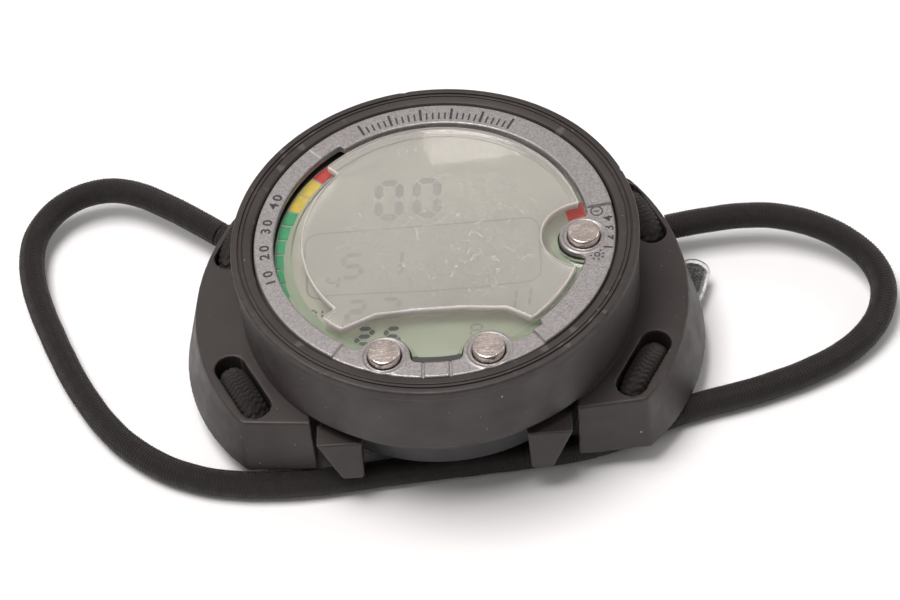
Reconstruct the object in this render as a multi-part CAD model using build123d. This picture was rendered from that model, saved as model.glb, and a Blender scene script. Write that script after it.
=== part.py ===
"""Wrist dive computer in a rubber boot with a bungee wrist cord.

Frame: +Z is out of the display, +X is the wearer's right, -Y is the 6 o'clock
side, and z = 0 is the face of the battery door that the computer rests on.
All sizes are in millimetres.
"""
from build123d import *
from math import cos, radians, sin, tan
import os

# ---- driving dimensions -------------------------------------------------
CASE_R = 28.9            # outside of the case where the boot grips it
FIT = 0.15               # rubber or lens against the case
PLASTIC_WALL = 2.3       # case wall beside the lens

BACK_Z = 4.8             # underside of the case
SPLIT_Z = 10.5           # case body meets case back
BOARD_SEAT_Z = 15.6
GRIP_Z = 16.1            # where the case steps out to its full radius
CASE_TOP_Z = 28.6

LENS_THICK = 1.8
LENS_DEPTH = 2.05        # from the top of the case down to the lens seat
PLATE_THICK = 1.2
PLATE_STEP = 0.45        # drop of the panels that carry the buttons
SHIELD_THICK = 1.5

CUP_WALL = 3.25          # rubber outside the case
RIM_LIP = 0.2
RIM_PROUD = 1.4          # rim above the case
WING_REACH = 7.7         # from the cup to the outer edge of a wing
WING_TOP_Z = 15.4
WING_FOOT_Z = 4.5
WING_FLARE = 2.7         # how far the wing's foot stands out at its middle
WING_LEAN = 0.8          # how far the foot of its front face stands out
WING_SHIFT = (-0.2, -0.9)  # front and back faces against a symmetric wing
WING_CORNER_DEG = 37.2
WING_INNER_DEG = 50.5
LEG_FOOT_Z = 6.6

BUTTON_R = 2.5
BUTTON_TRAVEL = 0.7
BUTTON_PROUD = 0.7
STEM_R = 1.2
RUNNING = 0.05           # radial clearance of a stem in its bore
BOSS_R = 4.0
FRONT_BUTTON_INSET = 3.6
SIDE_BUTTON_INSET = 5.2
FRONT_BUTTON_DEG = 18.4  # either side of 6 o'clock
SIDE_BUTTON_DEG = -4.6

CELL_R = 12.25
CELL_HEIGHT = 5.0
DOOR_R = 15.6
DOOR_THICK = 2.2
LOCK_RING_R = 19.0
LOCK_TURN_DEG = 25.0
COLLAR_R = 22.4

CORD_R = 2.2
CORD_GAP = 0.25          # between the cord and the rubber around it
SLOT_INSET = 3.6         # from the wing's edge to the middle of a slot
LIMP_BEND = 0.45         # share of the shorter run that an arc may use

# ---- sizes that follow --------------------------------------------------
CASE_STEP_R = CASE_R - 1.9
LENS_SEAT_Z = CASE_TOP_Z - LENS_DEPTH
RIM_TOP_Z = CASE_TOP_Z + RIM_PROUD
CUP_FLOOR_Z = GRIP_Z - 2.3
CUP_CAVITY_R = CASE_R + FIT
CUP_R = CUP_CAVITY_R + CUP_WALL
RIM_R = CUP_R + RIM_LIP
WING_R = CUP_R + WING_REACH
STEP_CAVITY_R = CASE_STEP_R + FIT
LENS_R = CASE_R - PLASTIC_WALL - FIT
CAVITY_R = LENS_R - 0.8
PLATE_R = CASE_R - FIT
PLATE_TOP_Z = CASE_TOP_Z + PLATE_THICK
LENS_TOP_Z = LENS_SEAT_Z + LENS_THICK
SHIELD_Z = LENS_TOP_Z + 0.05
BUTTON_TOP_Z = PLATE_TOP_Z + BUTTON_PROUD
HEAD_Z = BUTTON_TOP_Z - 3.2
CHANNEL_R = CORD_R + CORD_GAP
CAP_POCKET_Z = HEAD_Z - 4.0
BOSS_FOOT_Z = CAP_POCKET_Z - 3.2
CLIP_Z = BOSS_FOOT_Z - 0.85
STEM_END_Z = CLIP_Z - 0.5

LCD_TOP_Z = LENS_SEAT_Z - 0.65
LCD_THICK = 2.0
BOARD_THICK = 1.6
BOARD_TOP_Z = BOARD_SEAT_Z + BOARD_THICK
LCD_FOOT_Z = LCD_TOP_Z - LCD_THICK


def polar(radius, degrees, z=0.0):
    return Vector(radius * cos(radians(degrees)), radius * sin(radians(degrees)), z)


BUTTON_PLACES = {
    "left": polar(CASE_R - FRONT_BUTTON_INSET, -90 - FRONT_BUTTON_DEG),
    "right": polar(CASE_R - FRONT_BUTTON_INSET, -90 + FRONT_BUTTON_DEG),
    "side": polar(CASE_R - SIDE_BUTTON_INSET, SIDE_BUTTON_DEG),
}
SIDES = {"left": -1, "right": 1}


# ---- helpers ------------------------------------------------------------
def turned(*profile):
    """Solid of revolution about Z from (radius, z) corners."""
    points = [(r, 0, z) for r, z in profile]
    return revolve(make_face(Polyline(*points, close=True)), Axis.Z)


def disc(radius, z0, z1, hole=0.0, place=(0, 0)):
    """Plain disc or washer standing between two heights."""
    shape = Circle(radius)
    if hole:
        shape -= Circle(hole)
    return extrude(Pos(place[0], place[1], z0) * shape, z1 - z0)


def block(x, y, z0, z1, place=(0, 0)):
    return extrude(Pos(place[0], place[1], z0) * Rectangle(x, y), z1 - z0)


def torus(ring_radius, section_radius, z, place=(0, 0)):
    return Pos(place[0], place[1], z) * Torus(ring_radius, section_radius)


def pie(outer, start, end, inner=0.0):
    """Sketch of a ring sector between two angles."""
    middle = (start + end) / 2
    if inner <= 0:
        rim = ThreePointArc(polar(outer, start), polar(outer, middle), polar(outer, end))
        lines = [Line((0, 0), polar(outer, start)), rim, Line(polar(outer, end), (0, 0))]
        return make_face(lines)
    rim = ThreePointArc(polar(outer, start), polar(outer, middle), polar(outer, end))
    hub = ThreePointArc(polar(inner, end), polar(inner, middle), polar(inner, start))
    lines = [rim, Line(rim @ 1, hub @ 0), hub, Line(hub @ 1, rim @ 0)]
    return make_face(lines)


def boss_outline(place, radius, reach):
    """Round boss joined to the case wall by straight sides."""
    angle = Vector(1, 0, 0).get_signed_angle(Vector(place.X, place.Y, 0), Vector(0, 0, 1))
    arm = Pos(place.X, place.Y) * Rot(0, 0, angle) * Pos(reach / 2, 0) * Rectangle(reach, 2 * radius)
    return Pos(place.X, place.Y) * Circle(radius) + arm


def without_bosses(shape, radius):
    for place in BUTTON_PLACES.values():
        shape -= boss_outline(place, radius, 2 * BOSS_R)
    return shape


def bend_radii(points, share=LIMP_BEND):
    """Largest arc that the two runs beside each corner allow."""
    radii = []
    for before, here, after in zip(points, points[1:], points[2:]):
        turn = (here - before).get_angle(after - here)
        shorter = min((here - before).length, (after - here).length)
        radii.append(share * shorter / tan(radians(turn / 2)))
    return radii


def tube(points, radii, section_radius):
    path = FilletPolyline(*points, radius=radii)
    section = Plane(origin=path @ 0, z_dir=path % 0) * Circle(section_radius)
    return sweep(section, path=path), path


# ---- rubber boot --------------------------------------------------------
def cup():
    groove = 0.2
    step_r = RIM_R - 1.2
    ring_r = RIM_R - 1.8
    return turned(
        (STEP_CAVITY_R, CUP_FLOOR_Z), (CUP_R - 1.9, CUP_FLOOR_Z), (CUP_R - 1.3, CUP_FLOOR_Z + 0.6),
        (CUP_R - 1.3, GRIP_Z - 0.5), (CUP_R - 0.4, GRIP_Z - 0.2), (CUP_R, GRIP_Z + 0.5),
        (CUP_R, RIM_TOP_Z - 1.8), (RIM_R, RIM_TOP_Z - 1.5), (RIM_R, RIM_TOP_Z - 0.35),
        (RIM_R - 0.35, RIM_TOP_Z), (step_r, RIM_TOP_Z), (step_r, RIM_TOP_Z - 0.35),
        (step_r - groove, RIM_TOP_Z - 0.35), (step_r - groove, RIM_TOP_Z),
        (ring_r, RIM_TOP_Z), (ring_r, RIM_TOP_Z - 0.3), (ring_r - groove, RIM_TOP_Z - 0.3),
        (ring_r - groove, RIM_TOP_Z), (CUP_CAVITY_R, RIM_TOP_Z - 0.25),
        (CUP_CAVITY_R, GRIP_Z), (STEP_CAVITY_R, GRIP_Z),
    )


def wing_face(side, z, spread):
    """Plan of one wing; spread widens the foot, most of all at the middle."""
    inner = polar(CUP_R + 0.35, WING_INNER_DEG)
    corner = polar(WING_R + 0.18 * spread, WING_CORNER_DEG)
    front, back = -1, 1
    def at(point, way):
        shift = WING_SHIFT[0] - WING_LEAN * spread / WING_FLARE if way < 0 else WING_SHIFT[1]
        return (side * point.X, way * point.Y + shift, z)
    bulge = (side * (WING_R + spread), 0.8 * spread, z)
    rim = ThreePointArc(at(corner, front), bulge, at(corner, back))
    lines = [
        Line(at(inner, front), at(corner, front)), rim,
        Line(at(corner, back), at(inner, back)), Line(at(inner, back), at(inner, front)),
    ]
    return make_face(lines)


def wing(side):
    body = loft([wing_face(side, WING_FOOT_Z, WING_FLARE), wing_face(side, WING_TOP_Z, 0.0)], ruled=True)
    upright = [e for e in body.edges() if e.bounding_box().size.Z > 5 and abs(e.center().X) > CUP_R * 0.9]
    body = fillet(upright, 1.6)
    rim = [e for e in body.edges() if e.bounding_box().min.Z > WING_TOP_Z - 0.01]
    inner_x = polar(CUP_R, WING_INNER_DEG).X
    rim = [e for e in rim if abs(e.center().X) > inner_x + 1.5]
    body = fillet(rim, 0.3)
    body -= disc(STEP_CAVITY_R, 0, GRIP_Z)
    return body


def leg(side, way):
    """Tapered tab under the cup that keeps the crossing cord in place."""
    foot_r, root_r = CUP_R - 2.5, CUP_R - 3.4
    def row(z, inner, outer, front, back):
        corners = [(inner, front), (outer, front), (outer, back), (inner, back)]
        return make_face(Polyline(*[(side * x, way * y, z) for x, y in corners], close=True))
    foot = row(LEG_FOOT_Z, 13.2, 16.8, foot_r, foot_r - 2.4)
    root = row(GRIP_Z - 1.3, 12.9, 20.4, root_r, root_r - 4.4)
    body = loft([foot, root], ruled=True)
    upright = [e for e in body.edges() if e.bounding_box().size.Z > 5]
    return fillet(upright, 0.35) - disc(STEP_CAVITY_R, 0, GRIP_Z)


def slot_ends():
    """Middles of the four slot ends in the right wing."""
    return {
        "front_outer": polar(WING_R - SLOT_INSET, -35.4),
        "front_inner": polar(WING_R - SLOT_INSET, -21.0),
        "back_inner": polar(WING_R - SLOT_INSET + 0.15, 17.0),
        "back_outer": polar(WING_R - SLOT_INSET + 0.3, 32.0),
    }


FRONT_PEAK_Z = 13.4
BACK_PEAK_Z = 14.2


def slot_recess(start, end, peak_z, side):
    """Open top of a slot, down to the round bar that the cord passes over."""
    a, b = Vector(side * start.X, start.Y, 0), Vector(side * end.X, end.Y, 0)
    middle = (a + b) / 2
    span = (b - a).length
    angle = Vector(1, 0, 0).get_signed_angle(b - a, Vector(0, 0, 1))
    floor_z = peak_z - span / 2
    outline = Pos(middle.X, middle.Y, floor_z) * Rot(0, 0, angle) * SlotCenterToCenter(span, 2 * CHANNEL_R)
    recess = extrude(outline, RIM_TOP_Z - floor_z)
    bar_r = span / 2 - CHANNEL_R
    bar = Pos(middle.X, middle.Y, floor_z) * Rot(0, 0, angle) * Rot(90, 0, 0) * Cylinder(bar_r, 4 * CHANNEL_R)
    return recess - bar


# ---- cord routes --------------------------------------------------------
# The free cord, from the left exit round both loops to the right exit.
LOOP_POINTS = [
    (-50.5, 34.6, 6.0), (-59.5, 37.4, 5.9), (-67.4, 34.6, 5.0), (-71.8, 27.6, 3.9),
    (-71.0, 18.0, 2.9), (-66.8, 7.0, 2.3), (-60.8, -6.2, 2.25), (-52.8, -17.8, 2.25),
    (-41.0, -25.6, 2.25), (-25.5, -27.5, 2.25), (-8.0, -25.6, 2.25), (9.0, -24.4, 2.25),
    (24.5, -22.9, 2.25), (37.2, -16.6, 2.25), (52.0, -13.3, 2.25), (65.0, -7.8, 2.4),
    (72.0, -0.8, 3.3), (73.4, 7.4, 4.7), (68.6, 14.6, 5.9), (60.0, 19.6, 6.8),
    (49.5, 21.5, 6.6),
]
EXIT_SHARE = 0.38        # of the way from a wing's last bend to the first free point


def loop_exit(side):
    """Where the free cord meets the cord held in a wing."""
    bend = slot_ends()["back_outer"]
    bend = Vector(side * bend.X, bend.Y, BACK_Z)
    free = Vector(LOOP_POINTS[0] if side < 0 else LOOP_POINTS[-1])
    return bend + (free - bend) * EXIT_SHARE


def lacing_route(side):
    """Held cord: exit, back stitch, run under the wing, front stitch, knot."""
    ends = slot_ends()
    def at(point, z):
        return Vector(side * point.X, point.Y, z)
    run_r = STEP_CAVITY_R + 4.8
    return [
        (loop_exit(side), None),
        (at(ends["back_outer"], BACK_Z), 3.2),
        (at(ends["back_outer"], BACK_PEAK_Z), 4.6),
        (at(ends["back_inner"], BACK_PEAK_Z), 4.6),
        (at(ends["back_inner"], 5.4), 2.9),
        (at(polar(run_r, 6.0), 5.6), 7.0),
        (at(polar(run_r - 0.5, -9.0), 6.0), 20.0),
        (at(polar(run_r, -25.0), 6.6), 20.0),
        (at(ends["front_outer"], 7.0), 2.8),
        (at(ends["front_outer"], FRONT_PEAK_Z), 3.0),
        (at(ends["front_inner"], FRONT_PEAK_Z), 4.4),
        (at(ends["front_inner"], 5.6), 2.8),
        (at(knot_place(), KNOT_Z), None),
    ]


KNOT_Z = 5.5
KNOT_R = 3.2


def knot_place():
    return polar(WING_R - 2.9, -6.0)


def lacing_tube(side, section_radius):
    route = lacing_route(side)
    points = [p for p, _ in route]
    radii = [r for _, r in route[1:-1]]
    return tube(points, radii, section_radius)


TAIL_POINTS = [(37.3, -1.2, 5.3), (38.6, 3.2, 4.3), (40.9, 7.6, 3.1), (42.2, 12.6, 2.75)]
SLEEVE_START = 0.45      # share of the tail's length
SLEEVE_WALL = 0.45


def tail_tube(section_radius):
    points = [Vector(p) for p in TAIL_POINTS]
    return tube(points, bend_radii(points), section_radius)


def boot():
    body = cup()
    for side in SIDES.values():
        body += wing(side)
        for way in (-1, 1):
            body += leg(side, way)
    ends = slot_ends()
    for side in SIDES.values():
        body -= slot_recess(ends["front_outer"], ends["front_inner"], FRONT_PEAK_Z, side)
        body -= slot_recess(ends["back_inner"], ends["back_outer"], BACK_PEAK_Z, side)
        body -= lacing_tube(side, CHANNEL_R)[0]
        place = knot_place()
        body -= Pos(side * place.X, place.Y, KNOT_Z) * Sphere(KNOT_R + CORD_GAP)
        body -= disc(KNOT_R + CORD_GAP, 0, KNOT_Z, place=(side * place.X, place.Y))
    body -= tail_tube(CHANNEL_R + SLEEVE_WALL)[0]
    return body.solids().sort_by(SortBy.VOLUME)[-1]


# ---- cord ---------------------------------------------------------------
def loop():
    points = [loop_exit(-1)] + [Vector(p) for p in LOOP_POINTS] + [loop_exit(1)]
    radii = bend_radii(points)
    solid, path = tube(points, radii, CORD_R)
    expected = path.length * 3.14159265 * CORD_R ** 2
    print("bungee_loop radii", [round(r, 1) for r in radii])
    print(f"bungee_loop length {path.length:.1f} volume {solid.volume:.1f} expected {expected:.1f}")
    return solid


def lacing(side):
    """Held cord of one wing, cut off where it enters its knot."""
    solid, path = lacing_tube(side, CORD_R)
    print(f"held cord length {path.length:.1f}")
    return (solid - knot_ball(side)).solids().sort_by(SortBy.VOLUME)[-1]


def knot_ball(side):
    place = knot_place()
    return Pos(side * place.X, place.Y, KNOT_Z) * Sphere(KNOT_R)


def cord_tail():
    solid, path = tail_tube(CORD_R)
    print(f"cord tail length {path.length:.1f}")
    return (solid - knot_ball(1)).solids().sort_by(SortBy.VOLUME)[-1]


def tail_sleeve():
    path = tail_tube(CORD_R)[1]
    start = path @ SLEEVE_START
    cutter = Plane(origin=start, z_dir=path % SLEEVE_START)
    outer = tail_tube(CORD_R + SLEEVE_WALL)[0] - tail_tube(CORD_R)[0]
    return split(outer, bisect_by=cutter, keep=Keep.TOP)


# ---- case ---------------------------------------------------------------
def case_body():
    step = 0.3
    shell = turned(
        (CAVITY_R - 3.2, SPLIT_Z), (CASE_STEP_R, SPLIT_Z), (CASE_STEP_R, GRIP_Z),
        (CASE_R, GRIP_Z + step), (CASE_R, CASE_TOP_Z), (LENS_R + FIT, CASE_TOP_Z),
        (LENS_R + FIT, LENS_SEAT_Z), (CAVITY_R, LENS_SEAT_Z), (CAVITY_R, BOARD_SEAT_Z),
        (CAVITY_R - 3.2, BOARD_SEAT_Z),
    )
    inside = disc(LENS_R + FIT + 0.8, 0, RIM_TOP_Z)
    for place in BUTTON_PLACES.values():
        boss = extrude(Pos(0, 0, BOSS_FOOT_Z) * boss_outline(place, BOSS_R, 2 * BOSS_R),
                       CASE_TOP_Z - BOSS_FOOT_Z)
        shell += boss & inside
    for place in BUTTON_PLACES.values():
        spot = (place.X, place.Y)
        shell -= disc(BUTTON_R + FIT, CAP_POCKET_Z, RIM_TOP_Z, place=spot)
        shell -= disc(STEM_R + RUNNING, BOSS_FOOT_Z - 0.1, CAP_POCKET_Z, place=spot)
        shell -= disc(STEM_R + 1.2, BOARD_TOP_Z, BOSS_FOOT_Z, place=spot)
        shell -= torus(STEM_R + 0.4, 0.45, (BOSS_FOOT_Z + CAP_POCKET_Z) / 2, spot)
    for angle in SCREW_DEGREES:
        spot = polar(SCREW_CIRCLE_R, angle)
        shell -= disc(SCREW_R, 0, SCREW_TIP_Z, place=(spot.X, spot.Y))
    return shell


SCREW_CIRCLE_R = (CASE_STEP_R + CAVITY_R - 3.2) / 2 + 0.3
SCREW_R = 0.8
SCREW_HEAD_R = 1.35
SCREW_TIP_Z = 14.6
SCREW_DEGREES = (45, 135, 225, 315)
BAY_R = CELL_R + 0.35
CELL_FOOT_Z = DOOR_THICK + 1.2
BAY_TOP_Z = CELL_FOOT_Z + CELL_HEIGHT + 0.5
LAND_Z = DOOR_THICK + 0.1
GASKET_R = CAVITY_R - 2.1
DOOR_SEAL_R = DOOR_R - 1.5
SENSOR_R = (CAVITY_R - 3.2 - BAY_R - 1.6) / 2 - 0.2
SENSOR_MIDDLE = polar((CAVITY_R - 3.2 + BAY_R + 1.6) / 2, 45)
SENSOR_PLACE = (SENSOR_MIDDLE.X, SENSOR_MIDDLE.Y)


def case_back():
    floor_top = BACK_Z + 2.2
    shell = turned(
        (BAY_R, LAND_Z), (LOCK_RING_R - 2.8, LAND_Z), (LOCK_RING_R - 2.8, 3.35),
        (LOCK_RING_R + 1.4, 3.35), (LOCK_RING_R + 1.4, 0.8), (COLLAR_R, 0.8), (COLLAR_R, BACK_Z),
        (CASE_STEP_R - 1.0, BACK_Z), (CASE_STEP_R, BACK_Z + 1.0), (CASE_STEP_R, SPLIT_Z),
        (CAVITY_R - 3.2, SPLIT_Z), (CAVITY_R - 3.2, floor_top), (BAY_R + 1.6, floor_top),
        (BAY_R + 1.6, BAY_TOP_Z + 1.4), (CONTACT_SLOT_R, BAY_TOP_Z + 1.4), (CONTACT_SLOT_R, BAY_TOP_Z),
        (BAY_R, BAY_TOP_Z),
    )
    shell -= disc(LOCK_RING_R + 2.3, 1.55, 3.3, hole=LOCK_RING_R + 1.0)
    for number in range(3):
        middle = 120 * number + LUG_DEG + 25
        entry = pie(LOCK_RING_R + 2.3, middle - 19, middle + 19, LOCK_RING_R + 1.0)
        shell -= extrude(Pos(0, 0, 0.5) * entry, 1.2)
    shell -= turned((GASKET_R - 0.55, SPLIT_Z - 0.9), (GASKET_R + 0.55, SPLIT_Z - 0.9),
                    (GASKET_R + 0.55, SPLIT_Z + 1), (GASKET_R - 0.55, SPLIT_Z + 1))
    shell -= turned((DOOR_SEAL_R - 0.6, LAND_Z - 1), (DOOR_SEAL_R + 0.6, LAND_Z - 1),
                    (DOOR_SEAL_R + 0.6, LAND_Z + 0.9), (DOOR_SEAL_R - 0.6, LAND_Z + 0.9))
    for angle in SCREW_DEGREES:
        spot = polar(SCREW_CIRCLE_R, angle)
        shell -= disc(SCREW_R + 0.1, 0, SPLIT_Z + 1, place=(spot.X, spot.Y))
        shell -= disc(SCREW_HEAD_R + 0.1, 0, BACK_Z + 1.7, place=(spot.X, spot.Y))
    shell -= disc(1.0, 0, SPLIT_Z, place=SENSOR_PLACE)
    return shell.solids().sort_by(SortBy.VOLUME)[-1]


CONTACT_SLOT_R = 6.0
LUG_DEG = 30
LUG_WIDTH_DEG = 30


def case_screws():
    group = []
    for angle in SCREW_DEGREES:
        spot = polar(SCREW_CIRCLE_R, angle)
        place = (spot.X, spot.Y)
        screw = disc(SCREW_HEAD_R, BACK_Z + 0.4, BACK_Z + 1.7, place=place)
        screw += disc(SCREW_R, BACK_Z + 1.7, SCREW_TIP_Z - 0.3, place=place)
        for turn in (0, 90):
            screw -= Pos(spot.X, spot.Y, BACK_Z + 0.6) * Rot(0, 0, angle + turn) * Box(1.6, 0.35, 0.7)
        group.append(screw.solid())
    return Compound(group)


def battery_door():
    door = turned((0, 0), (DOOR_R, 0), (DOOR_R, 1.15), (DOOR_R + 1.0, 1.15),
                  (DOOR_R + 1.0, DOOR_THICK), (0, DOOR_THICK))
    return door - turned((9.0, -1), (9.6, -1), (9.6, 0.3), (9.0, 0.3))


def lock_ring():
    ring = turned((DOOR_R + 0.2, 0), (LOCK_RING_R, 0), (LOCK_RING_R, 3.2), (DOOR_R + 1.2, 3.2),
                  (DOOR_R + 1.2, 1.0), (DOOR_R + 0.2, 1.0))
    for number in range(3):
        middle = 120 * number
        lug = pie(LOCK_RING_R + 2.0, middle - LUG_WIDTH_DEG / 2, middle + LUG_WIDTH_DEG / 2,
                  LOCK_RING_R - 0.5)
        ring += extrude(Pos(0, 0, 1.8) * lug, 1.2)
    for number in range(6):
        spot = polar((DOOR_R + LOCK_RING_R) / 2, 60 * number + 30)
        ring -= disc(0.8, -1, 0.7, place=(spot.X, spot.Y))
    return ring


def contact_spring():
    """Three-leaf plate that presses on the top of the cell."""
    cell_top = CELL_FOOT_Z + CELL_HEIGHT
    plate = disc(CONTACT_SLOT_R - 0.4, cell_top + 1.5, cell_top + 1.75)
    for number in range(3):
        finger = Rot(0, 0, 120 * number) * Pos(2.6, 0, cell_top + 0.85) * Rot(0, 25, 0) * Box(3.6, 1.4, 0.25)
        plate += finger
    return plate.solids().sort_by(SortBy.VOLUME)[-1]


# ---- display ------------------------------------------------------------
def plate_opening():
    opening = Circle(PLATE_R - 4.2) + pie(PLATE_R - 3.15, 126, 310)
    for place in BUTTON_PLACES.values():
        opening -= boss_outline(place, BOSS_R - 0.1, 2 * BOSS_R)
    return opening


def face_plate():
    plate = extrude(Pos(0, 0, CASE_TOP_Z) * (Circle(PLATE_R) - plate_opening()), PLATE_THICK)
    step_z = PLATE_TOP_Z - PLATE_STEP
    for start, end in ((-124, -55), (-19, 9)):
        plate -= extrude(Pos(0, 0, step_z) * pie(PLATE_R + 1, start, end), PLATE_STEP + 1)
    for place in BUTTON_PLACES.values():
        spot = (place.X, place.Y)
        plate -= disc(BUTTON_R + 0.25, 0, RIM_TOP_Z + 1, place=spot)
        plate -= disc(BUTTON_R + 0.8, step_z - 0.15, RIM_TOP_Z, hole=BUTTON_R + 0.6, place=spot)
    for side in SIDES.values():
        plate -= block(0.3, 6, step_z - 0.5, RIM_TOP_Z, place=(side * 2.05, -PLATE_R + 1))
    return plate.solids().sort_by(SortBy.VOLUME)[-1]


def lens():
    sketch = without_bosses(Circle(LENS_R), BOSS_R + FIT)
    return extrude(Pos(0, 0, LENS_SEAT_Z) * sketch, LENS_THICK).solids().sort_by(SortBy.VOLUME)[-1]


def display_shield():
    radius = PLATE_R - 5.05
    sketch = Circle(radius) - pie(radius + 2, 137, 222, radius - 2.5)
    front = Polyline((-15, -18.7), (-9.3, -16.0), (-3, -15.6), (4, -15.6), (11, -16.2), (15, -18.7),
                     (15, -30), (-15, -30), close=True)
    sketch -= make_face(front)
    side = BUTTON_PLACES["side"]
    sketch -= Pos(side.X, side.Y) * Circle(BOSS_R + 2.6)
    body = extrude(Pos(0, 0, SHIELD_Z) * sketch, SHIELD_THICK)
    return body.solids().sort_by(SortBy.VOLUME)[-1]


def lcd_panel():
    sketch = without_bosses(Circle(CAVITY_R - 2.0), BOSS_R + 0.3)
    return extrude(Pos(0, 0, LCD_FOOT_Z) * sketch, LCD_THICK).solids().sort_by(SortBy.VOLUME)[-1]


def dial_ring():
    rim = Circle(CAVITY_R - 0.1)
    sketch = rim - Circle(CAVITY_R - 2.7)
    for place in BUTTON_PLACES.values():
        sketch += rim & boss_outline(place, BOSS_R + 1.2, 2 * BOSS_R)
    sketch = without_bosses(sketch, BOSS_R + 0.2)
    body = extrude(Pos(0, 0, LCD_TOP_Z + 0.1) * sketch, 0.4)
    return body.solids().sort_by(SortBy.VOLUME)[-1]


# start and end angle of each printed block, and how far in from the rim it reaches
SCALE_BARS = {
    "red": [(133.0, 140.8, 2.1)],
    "yellow": [(141.6, 149.6, 2.1), (150.4, 158.4, 2.1)],
    "green": [(159.2 + 7.2 * n, 165.6 + 7.2 * n, 1.9 - 0.22 * n) for n in range(6)],
}


def scale_bars(colour):
    group = []
    outer = CAVITY_R - 0.25
    for start, end, width in SCALE_BARS[colour]:
        bar = extrude(Pos(0, 0, LCD_TOP_Z + 0.52) * pie(outer, start, end, outer - width), 0.08)
        group.append(bar.solid())
    return Compound(group)


# ---- electronics --------------------------------------------------------
WINDOW_X, WINDOW_Y = 32.0, 29.0
ZEBRA_LENGTH, ZEBRA_WIDTH = 24.0, 1.8
ZEBRA_Y = 17.2
ELECTRONICS_R = CAVITY_R - 2.2


def lcd_frame():
    sketch = Circle(ELECTRONICS_R) - Rectangle(WINDOW_X, WINDOW_Y)
    for way in (-1, 1):
        sketch -= Pos(0, way * ZEBRA_Y) * Rectangle(ZEBRA_LENGTH + 0.4, ZEBRA_WIDTH + 0.4)
    sketch = without_bosses(sketch, BOSS_R + 0.3)
    body = extrude(Pos(0, 0, BOARD_TOP_Z + 0.1) * sketch, LCD_FOOT_Z - BOARD_TOP_Z - 0.2)
    return body.solids().sort_by(SortBy.VOLUME)[-1]


def zebra_strips():
    strips = [block(ZEBRA_LENGTH, ZEBRA_WIDTH, BOARD_TOP_Z, LCD_FOOT_Z, place=(0, way * ZEBRA_Y)).solid()
              for way in (-1, 1)]
    return Compound(strips)


def backlight():
    return block(WINDOW_X - 0.6, WINDOW_Y - 0.6, LCD_FOOT_Z - 0.6, LCD_FOOT_Z - 0.05)


def circuit_board():
    return disc(CAVITY_R - 0.3, BOARD_SEAT_Z, BOARD_TOP_Z)


def tact_switches():
    group = []
    for place in BUTTON_PLACES.values():
        spot = (place.X * 0.93, place.Y * 0.93)
        pad_top = STEM_END_Z - BUTTON_TRAVEL - 0.05
        body = disc(1.6, BOARD_TOP_Z, pad_top, place=spot)
        group.append(body.solid())
    return Compound(group)


def under_board(x, y, height, place):
    return block(x, y, BOARD_SEAT_Z - height, BOARD_SEAT_Z, place=place)


def pressure_sensor():
    foot = BACK_Z + 2.2
    can = disc(SENSOR_R, foot, foot + 3.0, place=SENSOR_PLACE)
    return can + disc(SENSOR_R - 1.0, foot + 3.0, foot + 4.4, place=SENSOR_PLACE)


def buzzer():
    return disc(6.0, BOARD_SEAT_Z - 2.4, BOARD_SEAT_Z, place=(-12.0, 10.5))


# ---- buttons ------------------------------------------------------------
def button(place):
    spot = (place.X, place.Y)
    head = disc(BUTTON_R, HEAD_Z, BUTTON_TOP_Z, place=spot)
    head = fillet(head.edges().sort_by(Axis.Z)[-1], 0.3)
    stem = disc(STEM_R, STEM_END_Z, HEAD_Z, place=spot)
    stem -= disc(STEM_R + 1, CLIP_Z, CLIP_Z + 0.4, hole=STEM_R - 0.35, place=spot)
    return head + stem


def button_clip(place):
    """Open retaining washer in the groove of the stem."""
    spot = (place.X, place.Y)
    clip = disc(STEM_R + 0.9, CLIP_Z + 0.02, CLIP_Z + 0.38, hole=STEM_R - 0.34, place=spot)
    return clip - block(1.2, 3, CLIP_Z - 1, CLIP_Z + 1, place=(place.X, place.Y + 1.9))


def button_spring(place):
    wire, turns = 0.22, 5
    height = HEAD_Z - CAP_POCKET_Z - 2 * wire - 0.04
    coil = Helix(pitch=height / turns, height=height, radius=STEM_R + 0.6)
    section = Plane(origin=coil @ 0, z_dir=coil % 0) * Circle(wire)
    return Pos(place.X, place.Y, CAP_POCKET_Z + wire + 0.02) * sweep(section, path=coil)


def button_seal(place):
    return torus(STEM_R + 0.4, 0.38, (BOSS_FOOT_Z + CAP_POCKET_Z) / 2, (place.X, place.Y))


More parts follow.
